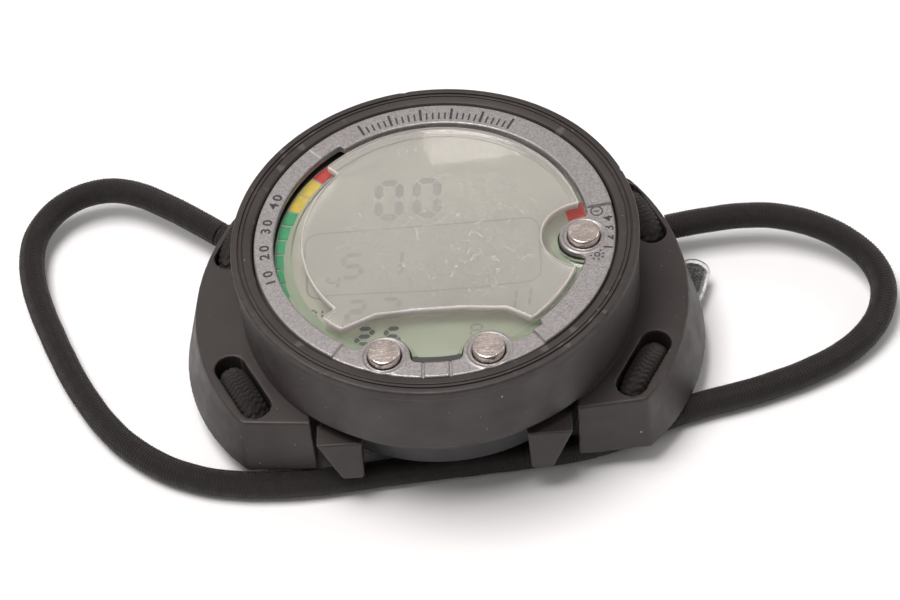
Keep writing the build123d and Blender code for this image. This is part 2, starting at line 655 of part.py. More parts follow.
# ---- write --------------------------------------------------------------
def parts():
    yield "boot", boot()
    yield "case_body", case_body()
    yield "case_back", case_back()
    yield "case_gasket", torus(GASKET_R, 0.45, SPLIT_Z - 0.45)
    yield "case_screws", case_screws()
    yield "battery_door", battery_door()
    yield "battery_door_seal", torus(DOOR_SEAL_R, 0.45, LAND_Z + 0.4)
    yield "battery_lock_ring", lock_ring()
    yield "battery_cell", disc(CELL_R, CELL_FOOT_Z, CELL_FOOT_Z + CELL_HEIGHT)
    yield "battery_contact_spring", contact_spring()
    yield "face_plate", face_plate()
    yield "window_lens", lens()
    yield "display_shield", display_shield()
    yield "lcd_panel", lcd_panel()
    yield "dial_ring", dial_ring()
    for colour in SCALE_BARS:
        yield f"scale_bars_{colour}", scale_bars(colour)
    yield "lcd_frame", lcd_frame()
    yield "backlight_panel", backlight()
    yield "zebra_strips", zebra_strips()
    yield "circuit_board", circuit_board()
    yield "tact_switches", tact_switches()
    yield "microcontroller", under_board(10, 10, 1.5, (2, -12))
    yield "clock_crystal", under_board(7, 2.2, 2.0, (-9, -6))
    yield "backlight_coil", disc(2.6, BOARD_SEAT_Z - 2.6, BOARD_SEAT_Z, place=(-12.5, -12.5))
    yield "buzzer", buzzer()
    yield "pressure_sensor", pressure_sensor()
    for name, place in BUTTON_PLACES.items():
        yield f"button_{name}", button(place)
        yield f"button_clip_{name}", button_clip(place)
        yield f"button_spring_{name}", button_spring(place)
        yield f"button_seal_{name}", button_seal(place)
    yield "bungee_loop", loop()
    for name, side in SIDES.items():
        yield f"bungee_lacing_{name}", lacing(side)
        yield f"bungee_knot_{name}", knot_ball(side)
    yield "bungee_tail", cord_tail()
    yield "tail_sleeve", tail_sleeve()


def main():
    os.makedirs("parts", exist_ok=True)
    for name, shape in parts():
        export_step(shape, os.path.join("parts", f"{name}.step"))


if __name__ == "__main__":
    main()
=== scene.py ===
"""Looks of a wrist dive computer in a rubber boot with a bungee wrist cord.

Everything is in metres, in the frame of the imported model: +Z out of the
display, -Y towards 6 o'clock, z = 0 at the face that the computer rests on.
"""

from math import cos, pi, radians, sin, tan
from types import SimpleNamespace

import bmesh
import bpy
import numpy as np
from mathutils import Matrix, Vector


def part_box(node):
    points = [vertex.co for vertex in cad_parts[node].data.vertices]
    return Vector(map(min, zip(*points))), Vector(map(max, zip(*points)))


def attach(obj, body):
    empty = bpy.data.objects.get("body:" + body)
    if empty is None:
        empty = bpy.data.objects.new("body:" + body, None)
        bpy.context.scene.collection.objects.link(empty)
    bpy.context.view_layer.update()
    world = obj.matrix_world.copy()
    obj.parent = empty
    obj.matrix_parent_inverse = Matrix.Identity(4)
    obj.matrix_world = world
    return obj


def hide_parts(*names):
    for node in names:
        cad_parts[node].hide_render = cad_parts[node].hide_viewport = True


bl_info = {
    "name": "Dive Computer",
    "version": (1, 0, 0),
    "blender": (4, 5, 0),
    "location": "View3D > Sidebar > Dive Computer",
    "description": "Builds the looks of a wrist dive computer around its packed frame",
    "category": "Object",
}

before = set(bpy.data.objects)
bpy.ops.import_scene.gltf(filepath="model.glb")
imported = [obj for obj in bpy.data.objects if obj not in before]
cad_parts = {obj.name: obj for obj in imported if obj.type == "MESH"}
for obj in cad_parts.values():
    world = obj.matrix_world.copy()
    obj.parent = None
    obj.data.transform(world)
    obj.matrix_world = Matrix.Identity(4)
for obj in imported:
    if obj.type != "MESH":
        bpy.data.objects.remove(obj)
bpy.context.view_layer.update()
MM = 0.001
MODULE = "module"
PRINT_LIFT = 0.02        # printed marks stand this far above the plate
CRYSTAL_LIFT = 0.03      # and display segments above the panel
SKIN_LIFT = 0.012        # scratches and ticks that lie on plastic


def node_box(node):
    """Lowest and highest corner of a frame node, in millimetres."""
    low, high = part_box(node)
    return np.array(low) / MM, np.array(high) / MM


PLATE_HIGH = node_box("face_plate")[1]
BOOT_HIGH = node_box("boot")[1]
LCD_HIGH = node_box("lcd_panel")[1]
CASE_HIGH = node_box("case_body")[1]


# ---- settings -----------------------------------------------------------
def size(name, about, millimetres, low=0.0):
    return bpy.props.FloatProperty(name=name, description=about, default=millimetres * MM, min=low * MM,
                                   precision=5, unit="LENGTH")


def share(name, about, default, high=1.0):
    return bpy.props.FloatProperty(name=name, description=about, default=default, min=0.0, max=high,
                                   subtype="FACTOR" if high == 1.0 else "NONE")


def count(name, about, default, low=0):
    return bpy.props.IntProperty(name=name, description=about, default=default, min=low)


def angle(name, about, degrees):
    return bpy.props.FloatProperty(name=name, description=about, default=radians(degrees), subtype="ANGLE")


def tint(name, about, default):
    return bpy.props.FloatVectorProperty(name=name, description=about, default=default, size=3,
                                         subtype="COLOR", min=0.0, max=1.0)


def power(name, about, default):
    return bpy.props.FloatProperty(name=name, description=about, default=default, min=0.0, subtype="POWER")


def in_mm(settings):
    """Values of a settings group, its lengths in millimetres."""
    values = {}
    for prop in settings.bl_rna.properties:
        if prop.identifier in ("rna_type", "name"):
            continue
        value = getattr(settings, prop.identifier)
        if getattr(prop, "unit", "NONE") == "LENGTH":
            value = value / MM
        elif getattr(prop, "is_array", False):
            value = tuple(value)
        values[prop.identifier] = value
    return SimpleNamespace(**values)


class BootSettings(bpy.types.PropertyGroup):
    rim_radius: size("Rim radius", "Outside of the cup's rim", 32.5, 20.0)
    wall_radius: size("Wall radius", "Outside of the cup below its rim", 32.3, 20.0)
    cavity_radius: size("Cavity radius", "Inside of the cup", float(CASE_HIGH[0]) + 0.15, 20.0)
    top: size("Rim height", "Top of the rim", 30.0, 5.0)
    softness: size("Softness", "Rounding of the rim's outer edge", 0.45)
    voxel: size("Moulding grid", "Grid that the wings' skin is made on", 0.27, 0.1)
    colour: tint("Rubber", "Colour of the rubber", (0.031, 0.0248, 0.0238))


class PlateSettings(bpy.types.PropertyGroup):
    outer: size("Outer radius", "Rim of the silver plate", float(PLATE_HIGH[0]), 10.0)
    top: size("Top", "Height of the plate's upper face", float(PLATE_HIGH[2]), 1.0)
    thickness: size("Thickness", "Thickness of the plate", 1.2, 0.2)
    step: size("Panel step", "Drop of the panels that carry the buttons", 0.45)
    boss: size("Boss radius", "Round bosses about the buttons", 3.9, 1.0)
    colour: tint("Silver", "Colour of the plate", (0.31, 0.298, 0.297))
    ink: tint("Ink", "Colour of the printed marks", (0.03, 0.03, 0.035))


class DisplaySettings(bpy.types.PropertyGroup):
    glass: tint("Panel", "Colour of the liquid crystal panel", (0.58, 0.575, 0.49))
    segment: tint("Segments", "Colour of a dark segment", (0.14, 0.15, 0.145))
    ghost: tint("Faint segments", "Colour of a segment that is off", (0.34, 0.34, 0.30))
    haze: share("Haze", "Roughness of the scuffed shield", 0.07)


class ButtonSettings(bpy.types.PropertyGroup):
    radius: size("Radius", "Radius of a button", 2.5, 0.5)
    edge: size("Edge", "Rounded edge of a button", 0.32)
    colour: tint("Steel", "Colour of the polished steel", (0.84, 0.75, 0.69))


class CordSettings(bpy.types.PropertyGroup):
    diameter: size("Diameter", "Thickness of the bungee", 4.4, 1.0)
    carriers: count("Carriers", "Yarn columns round the sheath", 16, 4)
    stitch: size("Stitch", "Length of one rib of the sheath", 0.52, 0.2)
    relief: size("Relief", "Height of the ribs", 0.2)
    fuzz: count("Fuzz", "Loose fibres for each millimetre of cord", 26)
    colour: tint("Yarn", "Colour of the sheath", (0.011, 0.0085, 0.0078))


class StageSettings(bpy.types.PropertyGroup):
    distance: bpy.props.FloatProperty(name="Distance", description="From the camera to its target",
                                      default=0.4074, min=0.1, unit="LENGTH")
    elevation: angle("Elevation", "Height of the camera above the table", 49.23)
    azimuth: angle("Azimuth", "Turn of the camera round the object", 3.71)
    roll: angle("Roll", "Turn of the camera about its own axis", -6.31)
    lens: bpy.props.FloatProperty(name="Lens", description="Focal length on a 36 mm sensor", default=104.0,
                                  min=10.0, unit="CAMERA")
    surround: share("Surround", "Brightness of the pale surroundings", 0.60, 10.0)
    key: power("Key", "Power of the lamp overhead", 5.2)
    side: power("Side", "Power of the lamp on the button side", 0.4)
    fill: power("Fill", "Power of the lamp on the near side", 0.25)


# ---- mesh making --------------------------------------------------------
def new_object(name, mesh):
    obj = bpy.data.objects.new(name, mesh)
    bpy.context.scene.collection.objects.link(obj)
    return obj


def mesh_from(name, points, faces, uv=None):
    """Mesh from points in mm, quads or triangles, and a UV for each corner."""
    mesh = bpy.data.meshes.new(name)
    faces = np.asarray(faces, dtype=np.int32)
    sides = faces.shape[1]
    mesh.vertices.add(len(points))
    mesh.vertices.foreach_set("co", (np.asarray(points, dtype=np.float64) * MM).ravel())
    mesh.loops.add(faces.size)
    mesh.loops.foreach_set("vertex_index", faces.ravel())
    mesh.polygons.add(len(faces))
    mesh.polygons.foreach_set("loop_start", np.arange(0, faces.size, sides, dtype=np.int32))
    if uv is not None:
        layer = mesh.uv_layers.new(name="surface")
        layer.data.foreach_set("uv", np.asarray(uv, dtype=np.float64)[faces.ravel()].ravel())
    mesh.update(calc_edges=True)
    mesh.validate()
    mesh.polygons.foreach_set("use_smooth", np.ones(len(mesh.polygons), dtype=bool))
    mesh.update()
    return mesh


def grid_faces(rows, columns, wrap_rows=False, wrap_columns=False):
    """Quads of a rows x columns grid of points, each row after the last."""
    i = np.arange(rows if wrap_rows else rows - 1)
    j = np.arange(columns if wrap_columns else columns - 1)
    i, j = np.meshgrid(i, j, indexing="ij")
    a = i * columns + j
    b = i * columns + (j + 1) % columns
    c = ((i + 1) % rows) * columns + (j + 1) % columns
    d = ((i + 1) % rows) * columns + j
    return np.stack([a, b, c, d], axis=-1).reshape(-1, 4)


def rounded_profile(corners, steps=6):
    """Outline through (r, z, radius) corners, each cut by an arc of its radius.

    An arc touches both sides at radius * tan(turn / 2) from its corner, and its
    points are centre + radius * (cos a, sin a) between those two touches.
    """
    points = []
    count = len(corners)
    for k in range(count):
        before, here, after = (np.array(corners[(k + n) % count][:2], float) for n in (-1, 0, 1))
        radius = corners[k][2]
        one = (before - here) / np.linalg.norm(before - here)
        two = (after - here) / np.linalg.norm(after - here)
        half = np.arccos(np.clip(one @ two, -1, 1)) / 2
        if radius <= 0 or half > pi / 2 - 0.01:
            points.append(here)
            continue
        reach = min(radius / tan(half), 0.49 * np.linalg.norm(before - here), 0.49 * np.linalg.norm(after - here))
        radius = reach * tan(half)
        bisector = (one + two) / np.linalg.norm(one + two)
        centre = here + bisector * radius / sin(half)
        start = here + one * reach - centre
        finish = here + two * reach - centre
        for t in np.linspace(0, 1, steps):
            swing = start * (1 - t) + finish * t
            points.append(centre + swing / np.linalg.norm(swing) * radius)
    return np.array(points)


def lathe(name, profile, segments=360, middle=(0.0, 0.0), shape=None):
    """Closed (r, z) profile carried round a vertical axis: (r cos a, r sin a, z)."""
    a = np.linspace(0, 2 * pi, segments, endpoint=False)[:, None]
    r = np.broadcast_to(profile[:, 0], (segments, len(profile))).copy()
    z = np.broadcast_to(profile[:, 1], (segments, len(profile))).copy()
    if shape is not None:
        r, z = shape(r, z, a)
    points = np.stack([middle[0] + r * np.cos(a), middle[1] + r * np.sin(a), z], axis=-1)
    faces = grid_faces(segments, len(profile), wrap_rows=True, wrap_columns=True)
    return outward(mesh_from(name, points.reshape(-1, 3), faces))


def solid_disc(name, profile, segments=96, middle=(0.0, 0.0)):
    """Open (r, z) profile from axis to axis, carried round: its ends are poles."""
    a = np.linspace(0, 2 * pi, segments, endpoint=False)[:, None]
    inner = profile[1:-1]
    r = inner[:, 0][None, :]
    ring = np.stack([middle[0] + r * np.cos(a), middle[1] + r * np.sin(a),
                     np.broadcast_to(inner[:, 1], (segments, len(inner)))], axis=-1).reshape(-1, 3)
    poles = np.array([[middle[0], middle[1], profile[0, 1]], [middle[0], middle[1], profile[-1, 1]]])
    points = np.vstack([ring, poles])
    quads = grid_faces(segments, len(inner), wrap_rows=True)
    start = np.arange(segments) * len(inner)
    following = np.roll(start, -1)
    low = np.stack([start, following, np.full(segments, len(ring)), np.full(segments, len(ring))], axis=-1)
    last = len(inner) - 1
    high = np.stack([following + last, start + last, np.full(segments, len(ring) + 1),
                     np.full(segments, len(ring) + 1)], axis=-1)
    tris = np.vstack([quads[:, [0, 1, 2]], quads[:, [0, 2, 3]], low[:, :3], high[:, :3]])
    return outward(mesh_from(name, points, tris))


def outward(mesh):
    """Turns every face of a closed shell outwards."""
    shell = bmesh.new()
    shell.from_mesh(mesh)
    bmesh.ops.remove_doubles(shell, verts=shell.verts, dist=1e-7)
    bmesh.ops.recalc_face_normals(shell, faces=shell.faces)
    shell.to_mesh(mesh)
    shell.free()
    mesh.update()
    return mesh


def frame_copy(node, name):
    """Object with a merged copy of a frame node's mesh, flat faces dissolved."""
    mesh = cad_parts[node].data.copy()
    mesh.name = name
    mesh.materials.clear()
    shell = bmesh.new()
    shell.from_mesh(mesh)
    bmesh.ops.remove_doubles(shell, verts=shell.verts, dist=2e-6)
    bmesh.ops.dissolve_limit(shell, angle_limit=radians(0.5), verts=shell.verts, edges=shell.edges)
    shell.to_mesh(mesh)
    shell.free()
    return new_object(name, mesh)


def applied(obj):
    """Replaces an object's mesh by its modified mesh and drops the modifiers."""
    bpy.context.view_layer.update()
    result = obj.evaluated_get(bpy.context.evaluated_depsgraph_get())
    mesh = bpy.data.meshes.new_from_object(result)
    mesh.name = obj.name
    obj.modifiers.clear()
    obj.data = mesh
    return obj


def cutter(name, mesh, obj, operation):
    """Cuts obj by a temporary mesh with an exact boolean."""
    tool = new_object(name, mesh)
    step = obj.modifiers.new("cut", "BOOLEAN")
    step.operation = operation
    step.solver = "EXACT"
    step.object = tool
    applied(obj)
    bpy.data.objects.remove(tool)
    return obj


def box_mesh(name, low, high):
    """Eight corners and six faces of an upright block."""
    corners = np.array([[x, y, z] for x in (low[0], high[0]) for y in (low[1], high[1])
                        for z in (low[2], high[2])], float)
    faces = [(0, 1, 3, 2), (4, 6, 7, 5), (0, 4, 5, 1), (2, 3, 7, 6), (0, 2, 6, 4), (1, 5, 7, 3)]
    return mesh_from(name, corners, faces)


def rod_mesh(name, radius, low, high, middle=(0.0, 0.0), segments=96):
    profile = np.array([(0, low), (radius, low), (radius, high), (0, high)], float)
    return solid_disc(name, profile, segments, middle)


def remoulded(obj, voxel, softening):
    """Even skin over a cut shape, its edges rounded by relaxing each point."""
    skin = obj.modifiers.new("skin", "REMESH")
    skin.mode = "VOXEL"
    skin.voxel_size = voxel * MM
    skin.use_smooth_shade = True
    relax = obj.modifiers.new("relax", "SMOOTH")
    relax.factor = 0.5
    relax.iterations = softening
    return applied(obj)


def bevelled(obj, width, segments=3, angle=35.0):
    edge = obj.modifiers.new("edges", "BEVEL")
    edge.width = width * MM
    edge.segments = segments
    edge.limit_method = "ANGLE"
    edge.angle_limit = radians(angle)
    edge.harden_normals = False
    applied(obj)
    obj.data.polygons.foreach_set("use_smooth", np.ones(len(obj.data.polygons), dtype=bool))
    obj.data.set_sharp_from_angle(angle=radians(32))
    return obj


def place(obj, material, slot, body=MODULE, stands_for=()):
    """Gives a finished piece its material and body; its slot is not used."""
    obj.data.materials.clear()
    obj.data.materials.append(material)
    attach(obj, body)
    if stands_for:
        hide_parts(*stands_for)
    return obj


def joined(name, parts):
    """One mesh from several (points, faces) pairs of equal face size."""
    points, faces, start = [], [], 0
    for p, f in parts:
        points.append(p)
        faces.append(np.asarray(f) + start)
        start += len(p)
    return mesh_from(name, np.vstack(points), np.vstack(faces))


# ---- shader groups ------------------------------------------------------
def group(name, output, **inputs):
    """Node group over a vector, with one output, and its two end nodes.

    A plain number makes a float input, and four numbers make a colour input.
    """
    tree = bpy.data.node_groups.new(name, "ShaderNodeTree")
    tree.interface.new_socket(name="Vector", in_out="INPUT", socket_type="NodeSocketVector")
    for label, default in inputs.items():
        kind = "NodeSocketFloat" if isinstance(default, float) else "NodeSocketColor"
        tree.interface.new_socket(name=label, in_out="INPUT", socket_type=kind).default_value = default
    kind = "NodeSocketColor" if output == "Color" else "NodeSocketFloat"
    tree.interface.new_socket(name=output, in_out="OUTPUT", socket_type=kind)
    return tree, tree.nodes.new("NodeGroupInput"), tree.nodes.new("NodeGroupOutput")


def maths(tree, operation, a, b=None):
    node = tree.nodes.new("ShaderNodeMath")
    node.operation = operation
    for index, value in enumerate((a, b)):
        if value is None:
            continue
        if isinstance(value, (int, float)):
            node.inputs[index].default_value = value
        else:
            tree.links.new(value, node.inputs[index])
    return node.outputs[0]


def noise(tree, vector, scale, detail=2.0, roughness=0.5):
    node = tree.nodes.new("ShaderNodeTexNoise")
    tree.links.new(vector, node.inputs["Vector"])
    if isinstance(scale, (int, float)):
        node.inputs["Scale"].default_value = scale
    else:
        tree.links.new(scale, node.inputs["Scale"])
    node.inputs["Detail"].default_value = detail
    node.inputs["Roughness"].default_value = roughness
    return node.outputs["Fac"]


def remap(tree, value, low, high, to_low=0.0, to_high=1.0):
    node = tree.nodes.new("ShaderNodeMapRange")
    tree.links.new(value, node.inputs["Value"])
    for key, number in (("From Min", low), ("From Max", high), ("To Min", to_low), ("To Max", to_high)):
        if isinstance(number, (int, float)):
            node.inputs[key].default_value = number
        else:
            tree.links.new(number, node.inputs[key])
    return node.outputs["Result"]


def grain_group():
    """Fine moulded grain: two layers of noise, one three times as fine."""
    tree, start, end = group("moulded_grain", "Height", Scale=3000.0)
    coarse = noise(tree, start.outputs["Vector"], start.outputs["Scale"], 3.0)
    fine_scale = maths(tree, "MULTIPLY", start.outputs["Scale"], 3.1)
    fine = noise(tree, start.outputs["Vector"], fine_scale, 1.0)
    total = maths(tree, "ADD", maths(tree, "MULTIPLY", coarse, 0.65), maths(tree, "MULTIPLY", fine, 0.35))
    tree.links.new(total, end.inputs["Height"])
    return tree


def dust_group():
    """Specks where a cell's distance is small and its random colour is rare."""
    tree, start, end = group("dust_specks", "Mask", Scale=900.0, Rarity=0.9, Size=0.12)
    cells = tree.nodes.new("ShaderNodeTexVoronoi")
    tree.links.new(start.outputs["Vector"], cells.inputs["Vector"])
    tree.links.new(start.outputs["Scale"], cells.inputs["Scale"])
    picked = tree.nodes.new("ShaderNodeSeparateColor")
    tree.links.new(cells.outputs["Color"], picked.inputs["Color"])
    rare = maths(tree, "GREATER_THAN", picked.outputs["Red"], start.outputs["Rarity"])
    reach = maths(tree, "MULTIPLY", start.outputs["Size"], picked.outputs["Green"])
    near = maths(tree, "LESS_THAN", cells.outputs["Distance"], reach)
    tree.links.new(maths(tree, "MULTIPLY", rare, near), end.inputs["Mask"])
    return tree


def scratch_group():
    """Hair scratches: thin bands of strongly stretched noise, in two directions."""
    tree, start, end = group("hair_scratches", "Mask", Scale=260.0, Rarity=0.6)
    masks = []
    for turn, stretch, offset in ((0.5, 9.0, 0.0), (-0.7, 7.0, 0.31), (1.9, 11.0, 0.73)):
        mapping = tree.nodes.new("ShaderNodeMapping")
        mapping.inputs["Rotation"].default_value = (0.0, 0.0, turn)
        mapping.inputs["Scale"].default_value = (1.0 / stretch, 1.0, 1.0)
        mapping.inputs["Location"].default_value = (offset, offset, 0.0)
        tree.links.new(start.outputs["Vector"], mapping.inputs["Vector"])
        wave = noise(tree, mapping.outputs["Vector"], start.outputs["Scale"], 4.0, 0.6)
        line = maths(tree, "ABSOLUTE", maths(tree, "SUBTRACT", wave, 0.5))
        line = maths(tree, "LESS_THAN", line, 0.004)
        patch_scale = maths(tree, "MULTIPLY", start.outputs["Scale"], 1.7)
        patches = noise(tree, start.outputs["Vector"], patch_scale, 1.0)
        shown = maths(tree, "GREATER_THAN", maths(tree, "ADD", patches, offset * 0.1), start.outputs["Rarity"])
        masks.append(maths(tree, "MULTIPLY", line, shown))
    both = maths(tree, "MAXIMUM", masks[0], masks[1])
    tree.links.new(maths(tree, "MAXIMUM", both, masks[2]), end.inputs["Mask"])
    return tree


def wear_group():
    """Edge wear: the mesh's pointedness, broken up by noise."""
    tree, start, end = group("edge_wear", "Mask", Onset=0.53, Full=0.62)
    geometry = tree.nodes.new("ShaderNodeNewGeometry")
    uneven = noise(tree, start.outputs["Vector"], 700.0, 3.0)
    break_up = maths(tree, "MULTIPLY", maths(tree, "SUBTRACT", uneven, 0.5), 0.12)
    edge = maths(tree, "ADD", geometry.outputs["Pointiness"], break_up)
    mask = remap(tree, edge, start.outputs["Onset"], start.outputs["Full"])
    tree.links.new(mask, end.inputs["Mask"])
    return tree


def variation_group():
    """Slow drift between two colours."""
    tree, start, end = group("colour_drift", "Color", Scale=60.0, First=(0, 0, 0, 1), Second=(1, 1, 1, 1))
    drift = remap(tree, noise(tree, start.outputs["Vector"], start.outputs["Scale"], 4.0), 0.3, 0.7)
    mix = mix_colour(tree, drift, start.outputs["First"], start.outputs["Second"])
    tree.links.new(mix, end.inputs["Color"])
    return tree


def mix_colour(tree, factor, first, second):
    node = tree.nodes.new("ShaderNodeMix")
    node.data_type = "RGBA"
    for index, value in ((0, factor), (6, first), (7, second)):
        if isinstance(value, (int, float)):
            node.inputs[index].default_value = value
        elif isinstance(value, (tuple, list)):
            node.inputs[index].default_value = tuple(value) if len(value) == 4 else (*value, 1.0)
        else:
            tree.links.new(value, node.inputs[index])
    return node.outputs[2]


GROUPS = {}


def build_groups():
    GROUPS.update(grain=grain_group(), dust=dust_group(), scratch=scratch_group(), wear=wear_group(),
                  drift=variation_group())


def use_group(tree, key, vector, **values):
    node = tree.nodes.new("ShaderNodeGroup")
    node.node_tree = GROUPS[key]
    tree.links.new(vector, node.inputs["Vector"])
    for label, value in values.items():
        colour = isinstance(value, (tuple, list)) and len(value) == 3
        node.inputs[label].default_value = (*value, 1.0) if colour else value
    return node.outputs[0]


def shade(colour, gain, lift=0.0):
    """Colour times a gain plus a lift, up to full white."""
    return tuple(min(1.0, c * gain + lift) for c in colour)


class Finish:
    """A material under construction: its tree, shader and object coordinates."""

    def __init__(self, name, roughness=0.5, metallic=0.0, specular=0.5, uv=False):
        self.material = bpy.data.materials.new(name)
        self.material.use_nodes = True
        self.tree = self.material.node_tree
        self.shader = self.tree.nodes["Principled BSDF"]
        self.shader.inputs["Roughness"].default_value = roughness
        self.shader.inputs["Metallic"].default_value = metallic
        self.shader.inputs["Specular IOR Level"].default_value = specular
        coordinates = self.tree.nodes.new("ShaderNodeTexCoord")
        self.place = coordinates.outputs["UV" if uv else "Object"]

    def set(self, **plain):
        for key, value in plain.items():
            self.shader.inputs[key.replace("_", " ")].default_value = value

    def link(self, socket, value):
        self.tree.links.new(value, self.shader.inputs[socket])

    def bump(self, height, strength, distance):
        node = self.tree.nodes.new("ShaderNodeBump")
        node.inputs["Strength"].default_value = strength
        node.inputs["Distance"].default_value = distance
        self.tree.links.new(height, node.inputs["Height"])
        self.link("Normal", node.outputs["Normal"])


def rubber(name, colour, grain=3600.0):
    """Satin moulded rubber: grain, paler worn edges, two sizes of dust."""
    f = Finish(name, roughness=0.5, specular=0.42)
    base = tuple(colour)
    drift = use_group(f.tree, "drift", f.place, Scale=70.0, First=shade(base, 0.86),
                      Second=shade(base, 1.2, 0.002))
    worn = use_group(f.tree, "wear", f.place, Onset=0.525, Full=0.62)
    edge = mix_colour(f.tree, maths(f.tree, "MULTIPLY", worn, 0.6), drift, shade(base, 3.0, 0.02))
    specks = use_group(f.tree, "dust", f.place, Scale=1300.0, Rarity=0.86, Size=0.13)
    motes = use_group(f.tree, "dust", f.place, Scale=520.0, Rarity=0.965, Size=0.09)
    pale = maths(f.tree, "MAXIMUM", maths(f.tree, "MULTIPLY", specks, 0.8), motes)
    f.link("Base Color", mix_colour(f.tree, pale, edge, (0.42, 0.38, 0.35)))
    patches = noise(f.tree, f.place, 210.0, 4.0)
    f.link("Roughness", remap(f.tree, patches, 0.3, 0.7, 0.40, 0.58))
    height = maths(f.tree, "ADD", use_group(f.tree, "grain", f.place, Scale=grain),
                   maths(f.tree, "MULTIPLY", specks, 0.8))
    f.bump(height, 0.4, 0.00006)
    return f.material


def silver_paint(name, colour):
    """Metallic lacquer: bright and dark flakes over a fine grain."""
    f = Finish(name, roughness=0.42, metallic=0.55, specular=0.5)
    base = tuple(colour)
    flakes = f.tree.nodes.new("ShaderNodeTexVoronoi")
    flakes.inputs["Scale"].default_value = 5200.0
    f.tree.links.new(f.place, flakes.inputs["Vector"])
    picked = f.tree.nodes.new("ShaderNodeSeparateColor")
    f.tree.links.new(flakes.outputs["Color"], picked.inputs["Color"])
    level = remap(f.tree, picked.outputs["Red"], 0.0, 1.0)
    coat = mix_colour(f.tree, level, shade(base, 0.8), shade(base, 1.3))
    worn = use_group(f.tree, "wear", f.place, Onset=0.56, Full=0.72)
    coat = mix_colour(f.tree, maths(f.tree, "MULTIPLY", worn, 0.5), coat, (0.78, 0.78, 0.79))
    f.link("Base Color", coat)
    f.link("Roughness", remap(f.tree, picked.outputs["Green"], 0.0, 1.0, 0.30, 0.56))
    f.bump(use_group(f.tree, "grain", f.place, Scale=5200.0), 0.35, 0.00005)
    return f.material


def polished_steel(name, colour, roughness=0.13):
    """Polished steel with hairlines and a dull smear."""
    f = Finish(name, roughness=roughness, metallic=1.0)
    smear = noise(f.tree, f.place, 420.0, 4.0, 0.6)
    f.link("Base Color", mix_colour(f.tree, remap(f.tree, smear, 0.42, 0.62), tuple(colour),
                                    shade(colour, 0.62)))
    lines = use_group(f.tree, "scratch", f.place, Scale=900.0, Rarity=0.45)
    rough = maths(f.tree, "ADD", remap(f.tree, smear, 0.35, 0.7, roughness * 0.7, roughness * 2.4),
                  maths(f.tree, "MULTIPLY", lines, 0.3))
    f.link("Roughness", rough)
    f.bump(maths(f.tree, "ADD", smear, lines), 0.12, 0.00004)
    return f.material


def plastic(name, colour, roughness=0.5, grain=4200.0, relief=0.2):
    """Moulded plastic: slow colour drift, fine grain and a little dust."""
    f = Finish(name, roughness=roughness)
    base = tuple(colour)
    drift = use_group(f.tree, "drift", f.place, Scale=160.0, First=base,
                      Second=shade(base, 1.2, 0.004))
    specks = use_group(f.tree, "dust", f.place, Scale=800.0, Rarity=0.97, Size=0.11)
    f.link("Base Color", mix_colour(f.tree, maths(f.tree, "MULTIPLY", specks, 0.5), drift, (0.5, 0.48, 0.45)))
    f.link("Roughness", remap(f.tree, noise(f.tree, f.place, 300.0, 3.0), 0.3, 0.7, roughness - 0.06, roughness + 0.08))
    f.bump(use_group(f.tree, "grain", f.place, Scale=grain), relief, 0.00005)
    return f.material


def clear_plastic(name, roughness, tone=(0.96, 0.975, 0.95), scuffs=True, clearness=1.0):
    """Clear moulded plastic, hazed by scuffs."""
    f = Finish(name, roughness=roughness, specular=0.5)
    f.set(Transmission_Weight=clearness, IOR=1.47)
    haze = noise(f.tree, f.place, 130.0, 5.0, 0.6)
    rough = remap(f.tree, haze, 0.3, 0.7, roughness * 0.7, roughness * 1.5)
    tint_colour = tuple(tone)
    if scuffs:
        lines = use_group(f.tree, "scratch", f.place, Scale=420.0, Rarity=0.42)
        specks = use_group(f.tree, "dust", f.place, Scale=520.0, Rarity=0.965, Size=0.1)
        rough = maths(f.tree, "ADD", rough, maths(f.tree, "MULTIPLY", lines, 0.35))
        f.bump(maths(f.tree, "ADD", maths(f.tree, "MULTIPLY", lines, 0.7), specks), 0.3, 0.00005)
        f.link("Base Color", mix_colour(f.tree, maths(f.tree, "MULTIPLY", lines, 0.4), tint_colour, (1.0, 1.0, 1.0)))
    else:
        f.set(Base_Color=(*tint_colour, 1.0))
    f.link("Roughness", rough)
    return f.material


def printed(name, colour, roughness=0.5):
    """Printed ink: a little uneven in tone."""
    f = Finish(name, roughness=roughness)
    base = tuple(colour)
    f.link("Base Color", use_group(f.tree, "drift", f.place, Scale=900.0, First=base,
                                   Second=shade(base, 1.18, 0.004)))
    f.bump(use_group(f.tree, "grain", f.place, Scale=5000.0), 0.1, 0.00003)
    return f.material


def yarn(name, colour):
    """Plaited nylon: filaments across each plait, paler along each filament in patches as a painted highlight."""
    f = Finish(name, roughness=0.5, specular=0.38, uv=True)
    f.set(Sheen_Weight=0.04, Sheen_Roughness=0.5)
    split = f.tree.nodes.new("ShaderNodeSeparateXYZ")
    f.tree.links.new(f.place, split.inputs["Vector"])
    around, along = split.outputs["X"], split.outputs["Y"]
    lean = maths(f.tree, "ADD", maths(f.tree, "MULTIPLY", along, 9.0), maths(f.tree, "MULTIPLY", around, 3.0))
    filament = maths(f.tree, "ABSOLUTE", maths(f.tree, "SINE", maths(f.tree, "MULTIPLY", lean, 2 * pi)))
    patches = noise(f.tree, f.place, 1.7, 3.0)
    # Pale filament tops, broken into patches: a painted highlight on the sheath.
    level = maths(f.tree, "MULTIPLY", filament, remap(f.tree, patches, 0.25, 0.75, 0.45, 1.0))
    base = tuple(colour)
    f.link("Base Color", mix_colour(f.tree, level, shade(base, 0.5), shade(base, 2.4, 0.004)))
    f.bump(filament, 0.5, 0.00008)
    return f.material


# ---- shared shapes ------------------------------------------------------
BUTTONS = {name: sum(node_box(f"button_{name}"))[:2] / 2 for name in ("left", "right", "side")}
SIDES = {"left": -1.0, "right": 1.0}


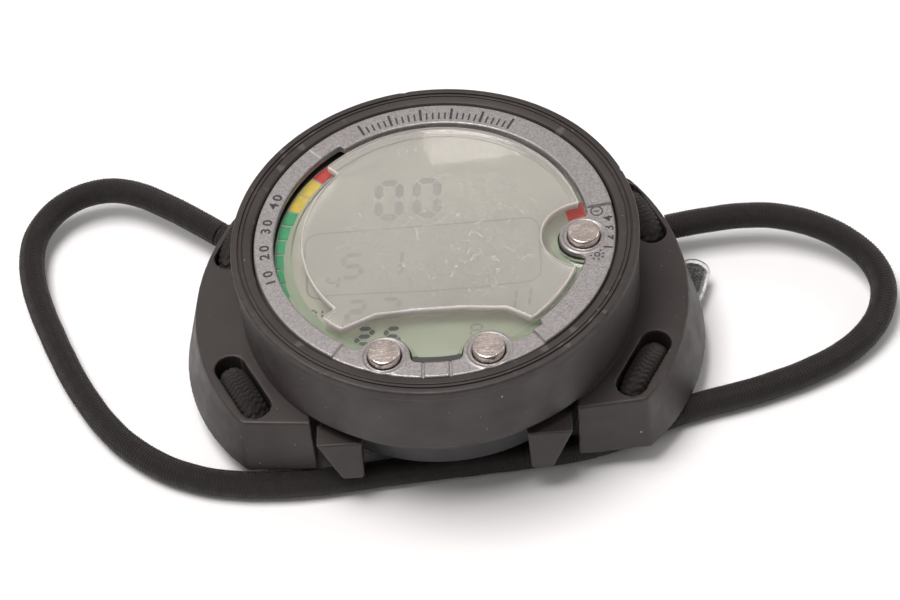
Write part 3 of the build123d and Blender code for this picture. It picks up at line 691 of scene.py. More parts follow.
def polar(radius, degrees):
    return np.array([radius * cos(radians(degrees)), radius * sin(radians(degrees))])


def smooth_step(x, low, high):
    """0 below low, 1 above high, 3t^2 - 2t^3 between."""
    t = np.clip((x - low) / (high - low), 0, 1)
    return t * t * (3 - 2 * t)


def smooth_least(a, b, width):
    """Smaller of two fields, blended where they differ by less than width."""
    h = np.clip(0.5 + 0.5 * (b - a) / width, 0, 1)
    return b * (1 - h) + a * h - width * h * (1 - h)


def angle_gap(a, b):
    """Signed difference of two angles in degrees, between -180 and 180."""
    return (a - b + 180.0) % 360.0 - 180.0


# ---- rubber boot --------------------------------------------------------
CUP_FOOT, CUP_GRIP = 16.2, 13.9      # flange and ledge of the cup, below its top
CUP_CORE_R = 30.9        # the wings' skin stops at this radius inside the cup
WING_REGION_X, WING_REGION_Y, WING_REGION_TOP = 20.9, 40.0, 15.95
LEG_X, LEG_Y = 16.6, 27.0            # middle of a leg
LEG_HALF_X, LEG_HALF_Y, LEG_REGION_TOP = 4.15, 7.0, 14.2
LEG_VOXEL = 0.2
NICKS = ((-36.0, 0.3, 0.55), (-37.6, 0.22, 0.4), (21.0, 0.16, 0.5), (171.0, 0.14, 0.7),
         (98.0, 0.1, 0.8), (-121.0, 0.12, 0.5), (-152.0, 0.1, 0.6))   # degrees, depth, width


def cup_profile(b):
    """Cup section: foot flange, wall, proud rim, two grooves, sloping ring."""
    foot, grip = b.top - CUP_FOOT, b.top - CUP_GRIP
    wall, rim, hole = b.wall_radius, b.rim_radius, b.cavity_radius
    return rounded_profile([
        (hole - 1.9, foot, 0.25), (wall - 1.9, foot, 0.3), (wall - 1.3, foot + 0.6, 0.25),
        (wall - 1.3, grip - 0.55, 0.2), (wall - 0.55, grip - 0.3, 0.15), (wall, grip + 0.45, 0.35),
        (wall, b.top - 1.95, 0.3), (rim, b.top - 1.6, 0.25), (rim, b.top - 0.02, b.softness),
        (rim - 1.1, b.top, 0.12), (rim - 1.14, b.top - 0.36, 0.05), (rim - 1.36, b.top - 0.36, 0.05),
        (rim - 1.4, b.top - 0.04, 0.1), (rim - 1.78, b.top - 0.05, 0.1), (rim - 1.82, b.top - 0.3, 0.05),
        (rim - 1.98, b.top - 0.3, 0.05), (rim - 2.02, b.top - 0.07, 0.1), (hole + 0.25, b.top - 0.28, 0.2),
        (hole, b.top - 0.65, 0.15), (hole, grip, 0.1), (hole - 1.9, grip, 0.15),
    ], steps=5)


def worn_rim(r, z, a, top):
    """Moulded rim pulled down in small nicks at its outer edge, by
    depth * exp(-(gap / width)^2), and faintly wavy all round."""
    degrees = np.degrees(a)
    edge = smooth_step(r, 31.2, 32.0) * smooth_step(z, top - 1.2, top - 0.3)
    for place, depth, width in NICKS:
        notch = np.exp(-(angle_gap(degrees, place) / width) ** 2)
        z = z - depth * notch * edge
        r = r - 0.7 * depth * notch * edge
    wave = 0.018 * np.sin(3 * a + 0.6) + 0.012 * np.sin(7 * a + 2.0) + 0.006 * np.sin(19 * a)
    return r + wave * smooth_step(r, 30.0, 32.0), z


def build_boot(b):
    cup = lathe("boot_cup", cup_profile(b), 540, shape=lambda r, z, a: worn_rim(r, z, a, b.top))
    material = rubber("moulded_rubber", b.colour)
    cup = new_object("boot_cup", cup)
    place(cup, material, "boot_rubber", stands_for=("boot",))
    for side, sign in SIDES.items():
        wing = frame_copy("boot", f"boot_wing_{side}")
        far = float(BOOT_HIGH[0]) + 3
        low = (WING_REGION_X if sign > 0 else -far, -WING_REGION_Y, 0)
        high = (far if sign > 0 else -WING_REGION_X, WING_REGION_Y, WING_REGION_TOP)
        cutter("wing_region", box_mesh("wing_region", low, high), wing, "INTERSECT")
        cutter("cup_region", rod_mesh("cup_region", CUP_CORE_R, CUP_GRIP, 20.0, segments=180), wing, "DIFFERENCE")
        remoulded(wing, b.voxel, 2)
        place(wing, material, "boot_rubber", stands_for=("boot",))
    legs = frame_copy("boot", "boot_legs")
    regions = [box_mesh("leg_region", (x - LEG_HALF_X, y - LEG_HALF_Y, 0),
                        (x + LEG_HALF_X, y + LEG_HALF_Y, LEG_REGION_TOP))
               for x in (-LEG_X, LEG_X) for y in (-LEG_Y, LEG_Y)]
    tool = new_object("leg_regions", regions[0])
    for extra in regions[1:]:
        other = new_object("leg_region", extra)
        join = tool.modifiers.new("join", "BOOLEAN")
        join.operation = "UNION"
        join.object = other
        applied(tool)
        bpy.data.objects.remove(other)
    mesh = tool.data
    bpy.data.objects.remove(tool)
    cutter("leg_region", mesh, legs, "INTERSECT")
    remoulded(legs, LEG_VOXEL, 2)
    place(legs, material, "boot_rubber", stands_for=("boot",))


# ---- silver plate -------------------------------------------------------
OPENING_INSET, OPENING_STEP = 4.15, 1.05     # of the inner outline, from the rim
OPENING_MIDDLE, OPENING_HALF = 218.0, 92.0   # degrees of its wider part
LOW_PANELS = ((-124.0, -54.5), (-19.0, 9.0))
HOLE_R = 2.66
PLATE_ROLL, PLATE_EDGE = 0.28, 0.3


def plate_field(p, r, a):
    """Distance to the plate's inner outline, negative inside the plate.

    The opening's radius steps at 126 and at -50 degrees. The bosses are discs
    about each button, blended into the ring.
    """
    degrees = np.degrees(a)
    gap = angle_gap(degrees, OPENING_MIDDLE)
    low, high = OPENING_HALF - 0.4, OPENING_HALF + 0.4
    broad = smooth_step(gap, -high, -low) * (1 - smooth_step(gap, low, high))
    opening = p.outer - OPENING_INSET + OPENING_STEP * broad
    field = opening - r
    x, y = r * np.cos(a), r * np.sin(a)
    for spot in BUTTONS.values():
        boss = np.hypot(x - spot[0], y - spot[1]) - p.boss
        field = smooth_least(field, boss, 1.5)
    return field


def plate_height(p, x, y):
    """Height of the plate's face: panels that carry buttons lie lower, with a
    ring pressed round each button, and the hole's edge is rolled in."""
    degrees = np.degrees(np.arctan2(y, x))
    radius = np.hypot(x, y)
    low = np.zeros_like(x)
    for start, end in LOW_PANELS:
        middle, half = (start + end) / 2, (end - start) / 2
        gap = (half - np.abs(angle_gap(degrees, middle))) * radians(1) * radius
        low = np.maximum(low, smooth_step(gap, -0.12, 0.16))
    z = p.top - p.step * low
    tab = smooth_step(1.9 - np.abs(x), -0.05, 0.12) * smooth_step(radius, 25.9, 26.1) * (y < 0)
    groove = smooth_step(0.28 - np.abs(np.abs(x) - 2.1), 0.0, 0.14) * smooth_step(radius, 25.2, 25.9) * (y < 0)
    z = z + 0.12 * tab - 0.22 * groove
    for spot in BUTTONS.values():
        gap = np.hypot(x - spot[0], y - spot[1])
        z = z + 0.1 * np.exp(-((gap - 3.5) / 0.22) ** 2) - 0.12 * np.exp(-((gap - 3.08) / 0.16) ** 2)
        z = z - 0.25 * (1 - smooth_step(gap, 2.62, 2.9))
    return z


def plate_mesh(p):
    """Closed ring on a grid of angle by section: a face from the inner outline
    to the rim, a rounded rim, and the underside back to the inner outline."""
    segments, face_rows = 1320, 50
    a = np.linspace(0, 2 * pi, segments, endpoint=False)[:, None]
    test = np.linspace(15.5, 27.5, 700)[None, :]
    field = plate_field(p, np.broadcast_to(test, (segments, 700)), np.broadcast_to(a, (segments, 700)))
    first = np.argmax(field < 0, axis=1)
    rows = np.arange(segments)
    before, after = field[rows, first - 1], field[rows, first]
    inner = test[0, first - 1] + (test[0, 1] - test[0, 0]) * before / (before - after)
    inner = inner[:, None]
    t = np.linspace(0, 1, face_rows)[None, :]
    roll, edge = PLATE_ROLL, PLATE_EDGE
    edge_turn = np.linspace(0, pi / 2, 4)[None, :]
    face = inner + roll + (p.outer - edge - inner - roll) * t
    x, y = face * np.cos(a), face * np.sin(a)
    top = plate_height(p, x, y)
    inside_r = inner + roll - roll * np.sin(edge_turn[:, ::-1])
    inside_z = top[:, :1] - roll + roll * np.cos(edge_turn[:, ::-1])
    outside_r = p.outer - edge + edge * np.sin(edge_turn)
    outside_z = top[:, -1:] - edge + edge * np.cos(edge_turn)
    foot = p.top - p.thickness
    under_r = np.concatenate([np.full((segments, 1), p.outer), inner + 0.02], axis=1)
    under_z = np.full((segments, 2), foot)
    outside_r = np.broadcast_to(outside_r, (segments, 4))
    r = np.concatenate([inside_r[:, :-1], face, outside_r[:, 1:], under_r], axis=1)
    z = np.concatenate([inside_z[:, :-1], top, outside_z[:, 1:], under_z], axis=1)
    points = np.stack([r * np.cos(a), r * np.sin(a), z], axis=-1)
    return outward(mesh_from("face_plate_skin", points.reshape(-1, 3),
                             grid_faces(segments, r.shape[1], wrap_rows=True, wrap_columns=True)))


def build_plate(p):
    plate = new_object("face_plate_skin", plate_mesh(p))
    for spot in BUTTONS.values():
        cutter("button_hole", rod_mesh("button_hole", HOLE_R, 20.0, 40.0, spot, 72), plate, "DIFFERENCE")
    plate.data.set_sharp_from_angle(angle=radians(48))
    place(plate, silver_paint("silver_lacquer", p.colour), "silver_plate", stands_for=("face_plate",))


def flat_text(label, height, weight=0.0):
    """Outline of a short label as a flat mesh about its own middle, in mm."""
    curve = bpy.data.curves.new("label", "FONT")
    curve.body = label
    curve.size = height
    curve.align_x = "CENTER"
    curve.align_y = "CENTER"
    curve.offset = weight
    curve.resolution_u = 4
    holder = bpy.data.objects.new("label", curve)
    bpy.context.scene.collection.objects.link(holder)
    bpy.context.view_layer.update()
    mesh = bpy.data.meshes.new_from_object(holder.evaluated_get(bpy.context.evaluated_depsgraph_get()))
    bpy.data.objects.remove(holder)
    bpy.data.curves.remove(curve)
    count = len(mesh.vertices)
    points = np.empty(count * 3)
    mesh.vertices.foreach_get("co", points)
    mesh.calc_loop_triangles()
    tris = np.empty(len(mesh.loop_triangles) * 3, dtype=np.int32)
    mesh.loop_triangles.foreach_get("vertices", tris)
    bpy.data.meshes.remove(mesh)
    return points.reshape(-1, 3), tris.reshape(-1, 3)


def wide(shape, factor):
    """Flat shape stretched along its own X."""
    points, tris = shape
    return points * np.array([factor, 1.0, 1.0]), tris


def turned_points(points, degrees, x, y, z):
    """Points turned about Z and moved to (x, y, z)."""
    c, s = cos(radians(degrees)), sin(radians(degrees))
    return np.stack([x + c * points[:, 0] - s * points[:, 1], y + s * points[:, 0] + c * points[:, 1],
                     z + points[:, 2]], axis=-1)


def bar_shape(length, width):
    """Flat block of two triangles about its own middle."""
    x, y = length / 2, width / 2
    return np.array([(-x, -y, 0), (x, -y, 0), (x, y, 0), (-x, y, 0)], float), np.array([(0, 1, 2), (0, 2, 3)])


def ring_shape(radius, width, count=40):
    """Flat ring as a strip of triangles."""
    a = np.linspace(0, 2 * pi, count, endpoint=False)
    inner, outer = radius - width / 2, radius + width / 2
    points = np.vstack([np.stack([inner * np.cos(a), inner * np.sin(a), 0 * a], axis=-1),
                        np.stack([outer * np.cos(a), outer * np.sin(a), 0 * a], axis=-1)])
    return points, ring_faces(count)


def ring_faces(count):
    """Triangles between an inner ring of points and the outer ring after it."""
    i = np.arange(count)
    j = (i + 1) % count
    return np.vstack([np.stack([i, i + count, j + count], axis=-1), np.stack([i, j + count, j], axis=-1)])


def build_plate_marks(p):
    """Degree ticks over the top, dial numbers down both sides, and two icons."""
    shapes = []

    def lay(shape, degrees, x, y, z):
        points, tris = shape
        shapes.append((turned_points(points, degrees, x, y, z), tris))

    top = p.top + PRINT_LIFT
    for index, degrees in enumerate(np.linspace(116, 61, 26)):
        long = index % 5 == 0
        x, y = polar(26.6 if long else 26.2, degrees)
        lay(bar_shape(2.5 if long else 1.5, 0.42 if long else 0.28), degrees, x, y, top)
    for index, character in enumerate("10 20 30 40"):
        degrees = 197.5 - 3.9 * index
        if character != " ":
            x, y = polar(26.95, degrees)
            lay(wide(flat_text(character, 2.15, 0.05), 1.2), degrees - 90, x, y, top)
    low = p.top - p.step + PRINT_LIFT
    for index, character in enumerate("1234"):
        degrees = -9.6 + 4.2 * index
        x, y = polar(27.75, degrees)
        lay(wide(flat_text(character, 2.0, 0.04), 1.15), degrees + 90, x, y, low)
    x, y = 25.92, 3.13
    lay(ring_shape(0.92, 0.2), 0, x, y, low)
    lay(bar_shape(0.8, 0.24), 8, x, y, low)
    x, y = 25.5, -6.04
    lay(ring_shape(0.4, 0.2), 0, x, y, low)
    for spoke in range(8):
        dx, dy = polar(1.0, 45 * spoke + 10)
        lay(bar_shape(0.32, 0.3), 45 * spoke + 10, x + dx, y + dy, low)
    marks = new_object("plate_marks", joined("plate_marks", shapes))
    place(marks, printed("plate_ink", p.ink, 0.45), "dial_black")


# ---- display ------------------------------------------------------------
DIGITS = {"0": "abcdef", "1": "bc", "2": "abdeg", "3": "abcdg", "4": "bcfg", "5": "acdfg", "6": "acdefg",
          "7": "abc", "8": "abcdefg", "9": "abcdfg"}


# Character, x, y, height, width, stroke, and a lean where it isn't the usual one.
FAINT_DIGITS = (
    ("0", -7.1, 10.0, 8.6, 4.6, 1.35, 1.0), ("0", -1.1, 10.0, 8.6, 4.6, 1.35, 1.0),
    ("5", -12.9, -3.4, 5.4, 3.7, 0.85), ("1", -6.6, -3.2, 5.8, 3.3, 0.7), ("4", -15.9, -6.6, 3.0, 2.2, 0.5),
    ("2", -12.4, -12.6, 4.6, 3.4, 0.85), ("7", -7.2, -12.3, 4.6, 3.4, 0.85), ("1", 13.4, -11.6, 4.2, 2.6, 0.5),
    ("1", 11.2, -11.8, 4.2, 2.6, 0.5), ("8", 6.0, -17.4, 2.6, 2.0, 0.4),
)
DARK_DIGITS = (
    ("5", -7.0, -17.6, 3.9, 3.0, 0.85), ("2", -11.4, -17.4, 3.9, 3.0, 0.85),
    ("0", -19.4, -12.4, 1.9, 1.5, 0.36, 0.0), ("1", -18.4, -12.4, 1.9, 1.5, 0.36, 0.0),
)


def segment_shape(length, width):
    """Six-cornered bar of a seven-segment digit, about its own middle."""
    x, y = length / 2, width / 2
    outline = np.array([(-x, 0, 0), (-x + y, -y, 0), (x - y, -y, 0), (x, 0, 0), (x - y, y, 0), (-x + y, y, 0)])
    return outline, np.array([(0, 1, 2), (0, 2, 3), (0, 3, 4), (0, 4, 5)])


def digit_shapes(character, x, y, height, width, stroke, lean=6.0):
    """Segments of one digit, sheared by its lean: x + tan(lean) * y."""
    shapes = []
    half_w, half_h = (width - stroke) / 2, (height - stroke) / 2
    gap = stroke * 0.16
    across, upright = 2 * half_w - 2 * gap, half_h - 2 * gap
    layout = {"a": (0, half_h, 0, across), "d": (0, -half_h, 0, across), "g": (0, 0, 0, across),
              "b": (half_w, half_h / 2, 90, upright), "c": (half_w, -half_h / 2, 90, upright),
              "f": (-half_w, half_h / 2, 90, upright), "e": (-half_w, -half_h / 2, 90, upright)}
    for letter in DIGITS[character]:
        dx, dy, turn, length = layout[letter]
        points, tris = segment_shape(length, stroke)
        points = turned_points(points, turn, dx, dy, 0.0)
        points[:, 0] += tan(radians(lean)) * points[:, 1]
        points += np.array([x, y, 0.0])
        shapes.append((points, tris))
    return shapes


def outline_strip(x0, y0, x1, y1, radius, width, slope=0.0):
    """Thin rounded rectangle drawn as a strip: its corners are arcs of the radius,
    and every point is raised by slope * x."""
    corners = []
    for cx, cy, start in ((x1 - radius, y1 - radius, 0), (x0 + radius, y1 - radius, 90),
                          (x0 + radius, y0 + radius, 180), (x1 - radius, y0 + radius, 270)):
        a = np.radians(np.linspace(start, start + 90, 8))
        corners.append(np.stack([np.cos(a), np.sin(a), np.full(8, cx), np.full(8, cy)], axis=-1))
    c = np.vstack(corners)
    inner = c[:, 2:] + (radius - width / 2) * c[:, :2]
    outer = c[:, 2:] + (radius + width / 2) * c[:, :2]
    count = len(c)
    flat = np.vstack([inner, outer])
    points = np.stack([flat[:, 0], flat[:, 1] + slope * flat[:, 0], np.zeros(2 * count)], axis=-1)
    return points, ring_faces(count)


def raised(shapes, z):
    """Lifts flat shapes to one height."""
    return [(points + np.array([0.0, 0.0, z]), tris) for points, tris in shapes]


def lay_flat(name, shapes, z, material, slot):
    """One piece from several flat shapes at one height."""
    place(new_object(name, joined(name, raised(shapes, z))), material, slot)


def build_display(d):
    top = float(LCD_HIGH[2])
    panel = Finish("crystal_panel", roughness=0.35, specular=0.35)
    split = panel.tree.nodes.new("ShaderNodeSeparateXYZ")
    panel.tree.links.new(panel.place, split.inputs["Vector"])
    # Paler band towards the back of the panel: a painted reflection of the pale surroundings.
    painted_reflection_band = remap(panel.tree, split.outputs["Y"], 0.0035, 0.011)
    pale = shade(d.glass, 1.22, 0.03)
    cool = (d.glass[0] * 0.86, d.glass[1] * 0.97, d.glass[2] * 0.88)
    front = remap(panel.tree, split.outputs["Y"], -0.0135, -0.017)
    tone = mix_colour(panel.tree, painted_reflection_band, tuple(d.glass), pale)
    tone = mix_colour(panel.tree, front, tone, cool)
    blotch = noise(panel.tree, panel.place, 95.0, 4.0)
    tone = mix_colour(panel.tree, maths(panel.tree, "MULTIPLY", remap(panel.tree, blotch, 0.35, 0.7), 0.16), tone,
                      shade(d.glass, 0.8))
    grain = noise(panel.tree, panel.place, 5200.0, 1.0)
    tone = mix_colour(panel.tree, maths(panel.tree, "MULTIPLY", grain, 0.12), tone, (0.62, 0.64, 0.55))
    panel.link("Base Color", tone)
    panel.link("Roughness", remap(panel.tree, blotch, 0.3, 0.7, 0.3, 0.42))
    dress(panel.material, "lcd_panel")

    faint = [shape for digit in FAINT_DIGITS for shape in digit_shapes(*digit)]
    faint.append(outline_strip(-20.3, -8.9, 16.2, 4.1, 2.2, 0.3, slope=0.022))
    dark = [shape for digit in DARK_DIGITS for shape in digit_shapes(*digit)]
    lay_flat("faint_segments", faint, top + CRYSTAL_LIFT, printed("faint_crystal", d.ghost, 0.4), "lcd_glass")
    lay_flat("dark_segments", dark, top + CRYSTAL_LIFT, printed("dark_crystal", d.segment, 0.4), "lcd_glass")
    white = []
    for index, x in enumerate(np.linspace(-5.6, 5.6, 9)):
        points, tris = bar_shape(0.32, 1.5 if index % 4 == 0 else 0.9)
        white.append((points + np.array([x, 20.6 - 0.012 * x * x, 0.0]), tris))
    lay_flat("display_ticks", white, top + CRYSTAL_LIFT, printed("white_print", (0.8, 0.8, 0.77), 0.4),
             "backlight_white")
    dress(printed_border(d), "dial_ring")


def printed_border(d):
    """Border of the display: its own tone, black in the bay before the panel."""
    f = Finish("display_border", roughness=0.4)
    split = f.tree.nodes.new("ShaderNodeSeparateXYZ")
    f.tree.links.new(f.place, split.inputs["Vector"])
    bay = maths(f.tree, "MULTIPLY", maths(f.tree, "LESS_THAN", split.outputs["Y"], -0.0226),
                maths(f.tree, "LESS_THAN", maths(f.tree, "ABSOLUTE", split.outputs["X"]), 0.0052))
    side = remap(f.tree, split.outputs["Y"], -0.004, 0.017)
    tone = mix_colour(f.tree, side, (d.glass[0] * 0.66, d.glass[1] * 0.80, d.glass[2] * 0.68),
                      (d.glass[0] * 0.95, d.glass[1] * 0.92, d.glass[2] * 0.95))
    f.link("Base Color", mix_colour(f.tree, bay, tone, (0.045, 0.042, 0.042)))
    f.bump(use_group(f.tree, "grain", f.place, Scale=4000.0), 0.1, 0.00003)
    return f.material


def dress(material, *nodes):
    """Gives carried-over frame nodes their finish."""
    for node in nodes:
        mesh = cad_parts[node].data
        mesh.materials.clear()
        mesh.materials.append(material)


def softened(node, name, width, segments=3, angle=35.0):
    return bevelled(frame_copy(node, name), width, segments, angle)


STEEP_NORMAL = 0.92      # faces of the shield that lean more than this get a painted highlight: a pale, half-clear finish


def build_windows(d):
    """Flat lens with an eased edge, and the shield that snaps over it."""
    lens = softened("window_lens", "window_glass", 0.12)
    place(lens, clear_plastic("clear_window", 0.03, (0.99, 0.995, 0.985), scuffs=False), "clear_plastic",
          stands_for=("window_lens",))
    shield = softened("display_shield", "shield_cover", 0.42, 4, 40.0)
    place(shield, clear_plastic("scuffed_shield", d.haze, (0.99, 0.985, 0.96), False, 0.86), "clear_plastic",
          body="shield", stands_for=("display_shield",))
    # The shield's steep edge faces are painted pale and half clear: a painted highlight for the light that the edge
    # would catch.
    edge_highlight = Finish("frosted_edge", roughness=0.42, specular=0.5)
    edge_highlight.set(Transmission_Weight=0.4, IOR=1.47)
    edge_highlight.link("Base Color", use_group(edge_highlight.tree, "drift", edge_highlight.place, Scale=300.0,
                                         First=(0.86, 0.80, 0.76), Second=(0.98, 0.94, 0.90)))
    shield.data.materials.append(edge_highlight.material)
    normals = np.empty(len(shield.data.polygons) * 3)
    shield.data.polygons.foreach_get("normal", normals)
    steep = np.abs(normals.reshape(-1, 3)[:, 2]) < STEEP_NORMAL
    shield.data.polygons.foreach_set("material_index", steep.astype(np.int32))
    high = float(node_box("display_shield")[1][2])
    hairlines = new_object("shield_hairlines", hairline_mesh("shield_hairlines", high + SKIN_LIFT))
    white = Finish("hairline_white", roughness=0.5)
    white.link("Base Color", use_group(white.tree, "drift", white.place, Scale=600.0, First=(0.62, 0.62, 0.56),
                                       Second=(0.9, 0.9, 0.85)))
    white.link("Alpha", remap(white.tree, noise(white.tree, white.place, 900.0, 3.0), 0.35, 0.7, 0.06, 0.55))
    place(hairlines, white.material, "clear_plastic", body="shield")
    hairlines.visible_shadow = False


def hairline_mesh(name, z):
    """Short scratches: each a tapering strip of four bent steps,
    middle + s * (cos a, sin a) + bend * s^2 * (-sin a, cos a), with s from -L to L."""
    rng = np.random.default_rng(7)
    count = 760
    radius = 17.5 * np.sqrt(rng.uniform(0, 1, count))
    turn = rng.uniform(0, 2 * pi, count)
    middle = np.stack([1.5 + radius * np.cos(turn), -1.0 + 0.86 * radius * np.sin(turn)], axis=-1)
    middle[:140] = rng.normal((6.5, -5.5), (4.5, 4.0), (140, 2))
    a = rng.uniform(0, pi, count)
    length = 0.35 + 1.5 * rng.uniform(0, 1, count) ** 3.0
    bend = rng.uniform(-0.12, 0.12, count)
    width = rng.uniform(0.028, 0.05, count)
    inside = (np.hypot(middle[:, 0], middle[:, 1]) + length < 19.6) & (middle[:, 1] - length > -14.4)
    inside &= np.hypot(middle[:, 0] - BUTTONS["side"][0], middle[:, 1] - BUTTONS["side"][1]) - length > 7.2
    middle, a, length, bend, width = middle[inside], a[inside], length[inside], bend[inside], width[inside]
    count = len(a)
    s = np.linspace(-1, 1, 5)[None, :] * length[:, None]
    along = np.stack([np.cos(a), np.sin(a)], axis=-1)[:, None, :]
    across = np.stack([-np.sin(a), np.cos(a)], axis=-1)[:, None, :]
    line = middle[:, None, :] + s[..., None] * along + (bend[:, None] * s ** 2)[..., None] * across
    taper = width[:, None] * np.sqrt(np.clip(1.02 - np.linspace(-1, 1, 5)[None, :] ** 2, 0.02, 1))
    both = np.stack([line - taper[..., None] * across, line + taper[..., None] * across], axis=2)
    points = np.concatenate([both, np.full((*both.shape[:-1], 1), z)], axis=-1).reshape(-1, 3)
    pattern = np.array([(0, 2, 3, 1), (2, 4, 5, 3), (4, 6, 7, 5), (6, 8, 9, 7)])[None]
    faces = ((np.arange(count) * 10)[:, None, None] + pattern).reshape(-1, 4)
    return mesh_from(name, points, faces)


def build_scale():
    """Printed blocks along the left of the dial."""
    dress(printed("print_red_ink", (0.62, 0.035, 0.03)), "scale_bars_red")
    dress(printed("print_yellow_ink", (0.78, 0.60, 0.07)), "scale_bars_yellow")
    dress(printed("print_green_ink", (0.03, 0.42, 0.17)), "scale_bars_green")
    top = float(node_box("scale_bars_red")[1][2])
    lay_flat("warning_patch", [sector_shape(21.6, 24.6, 8.0, 17.0)], top,
             printed("patch_red_ink", (0.62, 0.05, 0.035)), "print_red")
    lay_flat("warning_sliver", [sector_shape(21.6, 24.0, 4.6, 7.4)], top,
             printed("sliver_yellow_ink", (0.62, 0.42, 0.05)), "print_yellow")


def sector_shape(inner, outer, start, end, count=12):
    """Flat ring sector as a strip of triangles."""
    a = np.radians(np.linspace(start, end, count))
    points = np.vstack([np.stack([inner * np.cos(a), inner * np.sin(a), 0 * a], axis=-1),
                        np.stack([outer * np.cos(a), outer * np.sin(a), 0 * a], axis=-1)])
    i = np.arange(count - 1)
    return points, np.vstack([np.stack([i, i + count, i + count + 1], axis=-1),
                              np.stack([i, i + count + 1, i + 1], axis=-1)])


# ---- buttons ------------------------------------------------------------
def build_buttons(b):
    """Turned cap: flat, faintly crowned face, rounded edge, side, then stem.

    Cap height over the axis is top - crown * (r / R)^2.
    """
    steel = polished_steel("button_polish", b.colour)
    for name, spot in BUTTONS.items():
        low, high = node_box(f"button_{name}")
        top, head = high[2], high[2] - 3.2
        crown = np.linspace(0, b.radius - b.edge, 14)
        cap = [(r, top - 0.05 * (r / b.radius) ** 2) for r in crown]
        last = cap[-1][1]
        turn = np.linspace(0, pi / 2, 7)[1:]
        cap += [(b.radius - b.edge + b.edge * sin(t), last - b.edge + b.edge * cos(t)) for t in turn]
        cap += [(b.radius, head), (1.2, head), (1.2, low[2]), (0.0, low[2])]
        mesh = solid_disc(f"button_cap_{name}", np.array(cap), 96, spot)
        button = new_object(f"button_cap_{name}", mesh)
        button.data.set_sharp_from_angle(angle=radians(40))
        place(button, steel, "button_steel", body=f"button_{name}", stands_for=(f"button_{name}",))


# ---- cord ---------------------------------------------------------------
# The free cord's route, from the left exit round both loops to the right exit.
LOOP_ROUTE = [
    (-0.0384865, 0.0252058, 0.005256), (-0.0505, 0.0346, 0.0060), (-0.0595, 0.0374, 0.0059), (-0.0674, 0.0346, 0.0050),
    (-0.0718, 0.0276, 0.0039), (-0.0710, 0.0180, 0.0029), (-0.0668, 0.0070, 0.0023), (-0.0608, -0.0062, 0.00225),
    (-0.0528, -0.0178, 0.00225), (-0.0410, -0.0256, 0.00225), (-0.0255, -0.0275, 0.00225), (-0.0080, -0.0256, 0.00225),
    (0.0090, -0.0244, 0.00225), (0.0245, -0.0229, 0.00225), (0.0372, -0.0166, 0.00225), (0.0520, -0.0133, 0.00225),
    (0.0650, -0.0078, 0.0024), (0.0720, -0.0008, 0.0033), (0.0734, 0.0074, 0.0047), (0.0686, 0.0146, 0.0059),
    (0.0600, 0.0196, 0.0068), (0.0495, 0.0215, 0.0066), (0.0381065, 0.0202278, 0.005484),
]
HELD_R = 2.3             # the cord is a little fatter where its stitches hold it
KNOT_STRAND_R = 1.15
TAIL_ROUTE = [(0.0373, -0.0012, 0.0053), (0.0386, 0.0032, 0.0043), (0.0409, 0.0076, 0.0031), (0.0422, 0.0126, 0.00275)]


def spline_points(name, route, resolution=24):
    """Points along a NURBS curve, in mm, read from its evaluated mesh."""
    curve = bpy.data.curves.new(name, "CURVE")
    curve.dimensions = "3D"
    spline = curve.splines.new("NURBS")
    spline.points.add(len(route) - 1)
    for point, where in zip(spline.points, route):
        point.co = (*where, 1.0)
    spline.order_u = 3
    spline.use_endpoint_u = True
    spline.resolution_u = resolution
    holder = bpy.data.objects.new(name, curve)
    bpy.context.scene.collection.objects.link(holder)
    bpy.context.view_layer.update()
    mesh = bpy.data.meshes.new_from_object(holder.evaluated_get(bpy.context.evaluated_depsgraph_get()))
    points = np.empty(len(mesh.vertices) * 3)
    mesh.vertices.foreach_get("co", points)
    bpy.data.objects.remove(holder)
    bpy.data.curves.remove(curve)
    bpy.data.meshes.remove(mesh)
    return points.reshape(-1, 3) / MM


def even_points(points, spacing):
    """The same line with its points an equal distance apart."""
    step = np.linalg.norm(np.diff(points, axis=0), axis=1)
    keep = np.concatenate([[True], step > 1e-6])
    points = points[keep]
    run = np.concatenate([[0.0], np.cumsum(np.linalg.norm(np.diff(points, axis=0), axis=1))])
    count = max(4, int(run[-1] / spacing) + 1)
    at = np.linspace(0, run[-1], count)
    return np.stack([np.interp(at, run, points[:, k]) for k in range(3)], axis=-1), at


def carried_frame(points):
    """Two side directions for each point, turned as little as possible along it."""
    tangent = np.gradient(points, axis=0)
    tangent /= np.linalg.norm(tangent, axis=1)[:, None]
    side = np.cross(tangent[0], (0.0, 0.0, 1.0))
    if np.linalg.norm(side) < 0.2:
        side = np.cross(tangent[0], (1.0, 0.0, 0.0))
    side /= np.linalg.norm(side)
    sides = []
    for direction in tangent:
        side = side - direction * (side @ direction)
        side /= np.linalg.norm(side)
        sides.append(side)
    sides = np.array(sides)
    return tangent, sides, np.cross(tangent, sides)


def plait_height(around, along, carriers):
    """Height of the ribbed sheath, 0 to 1, at (turns round, ribs along).

    Yarns lie in columns; their ribs slant one way in a column and the other way
    in the next, as along + 0.55 * triangle(column) has it, and a rib's section
    is a half sine. A shallow groove parts the columns.
    """
    column = carriers * around / 2
    slant = 2 * np.abs(column % 1.0 - 0.5)
    rib = np.abs(np.sin(pi * (along + 0.55 * slant)))
    groove = np.abs(np.sin(2 * pi * column)) ** 0.5
    return rib ** 0.8 * (0.5 + 0.5 * groove)


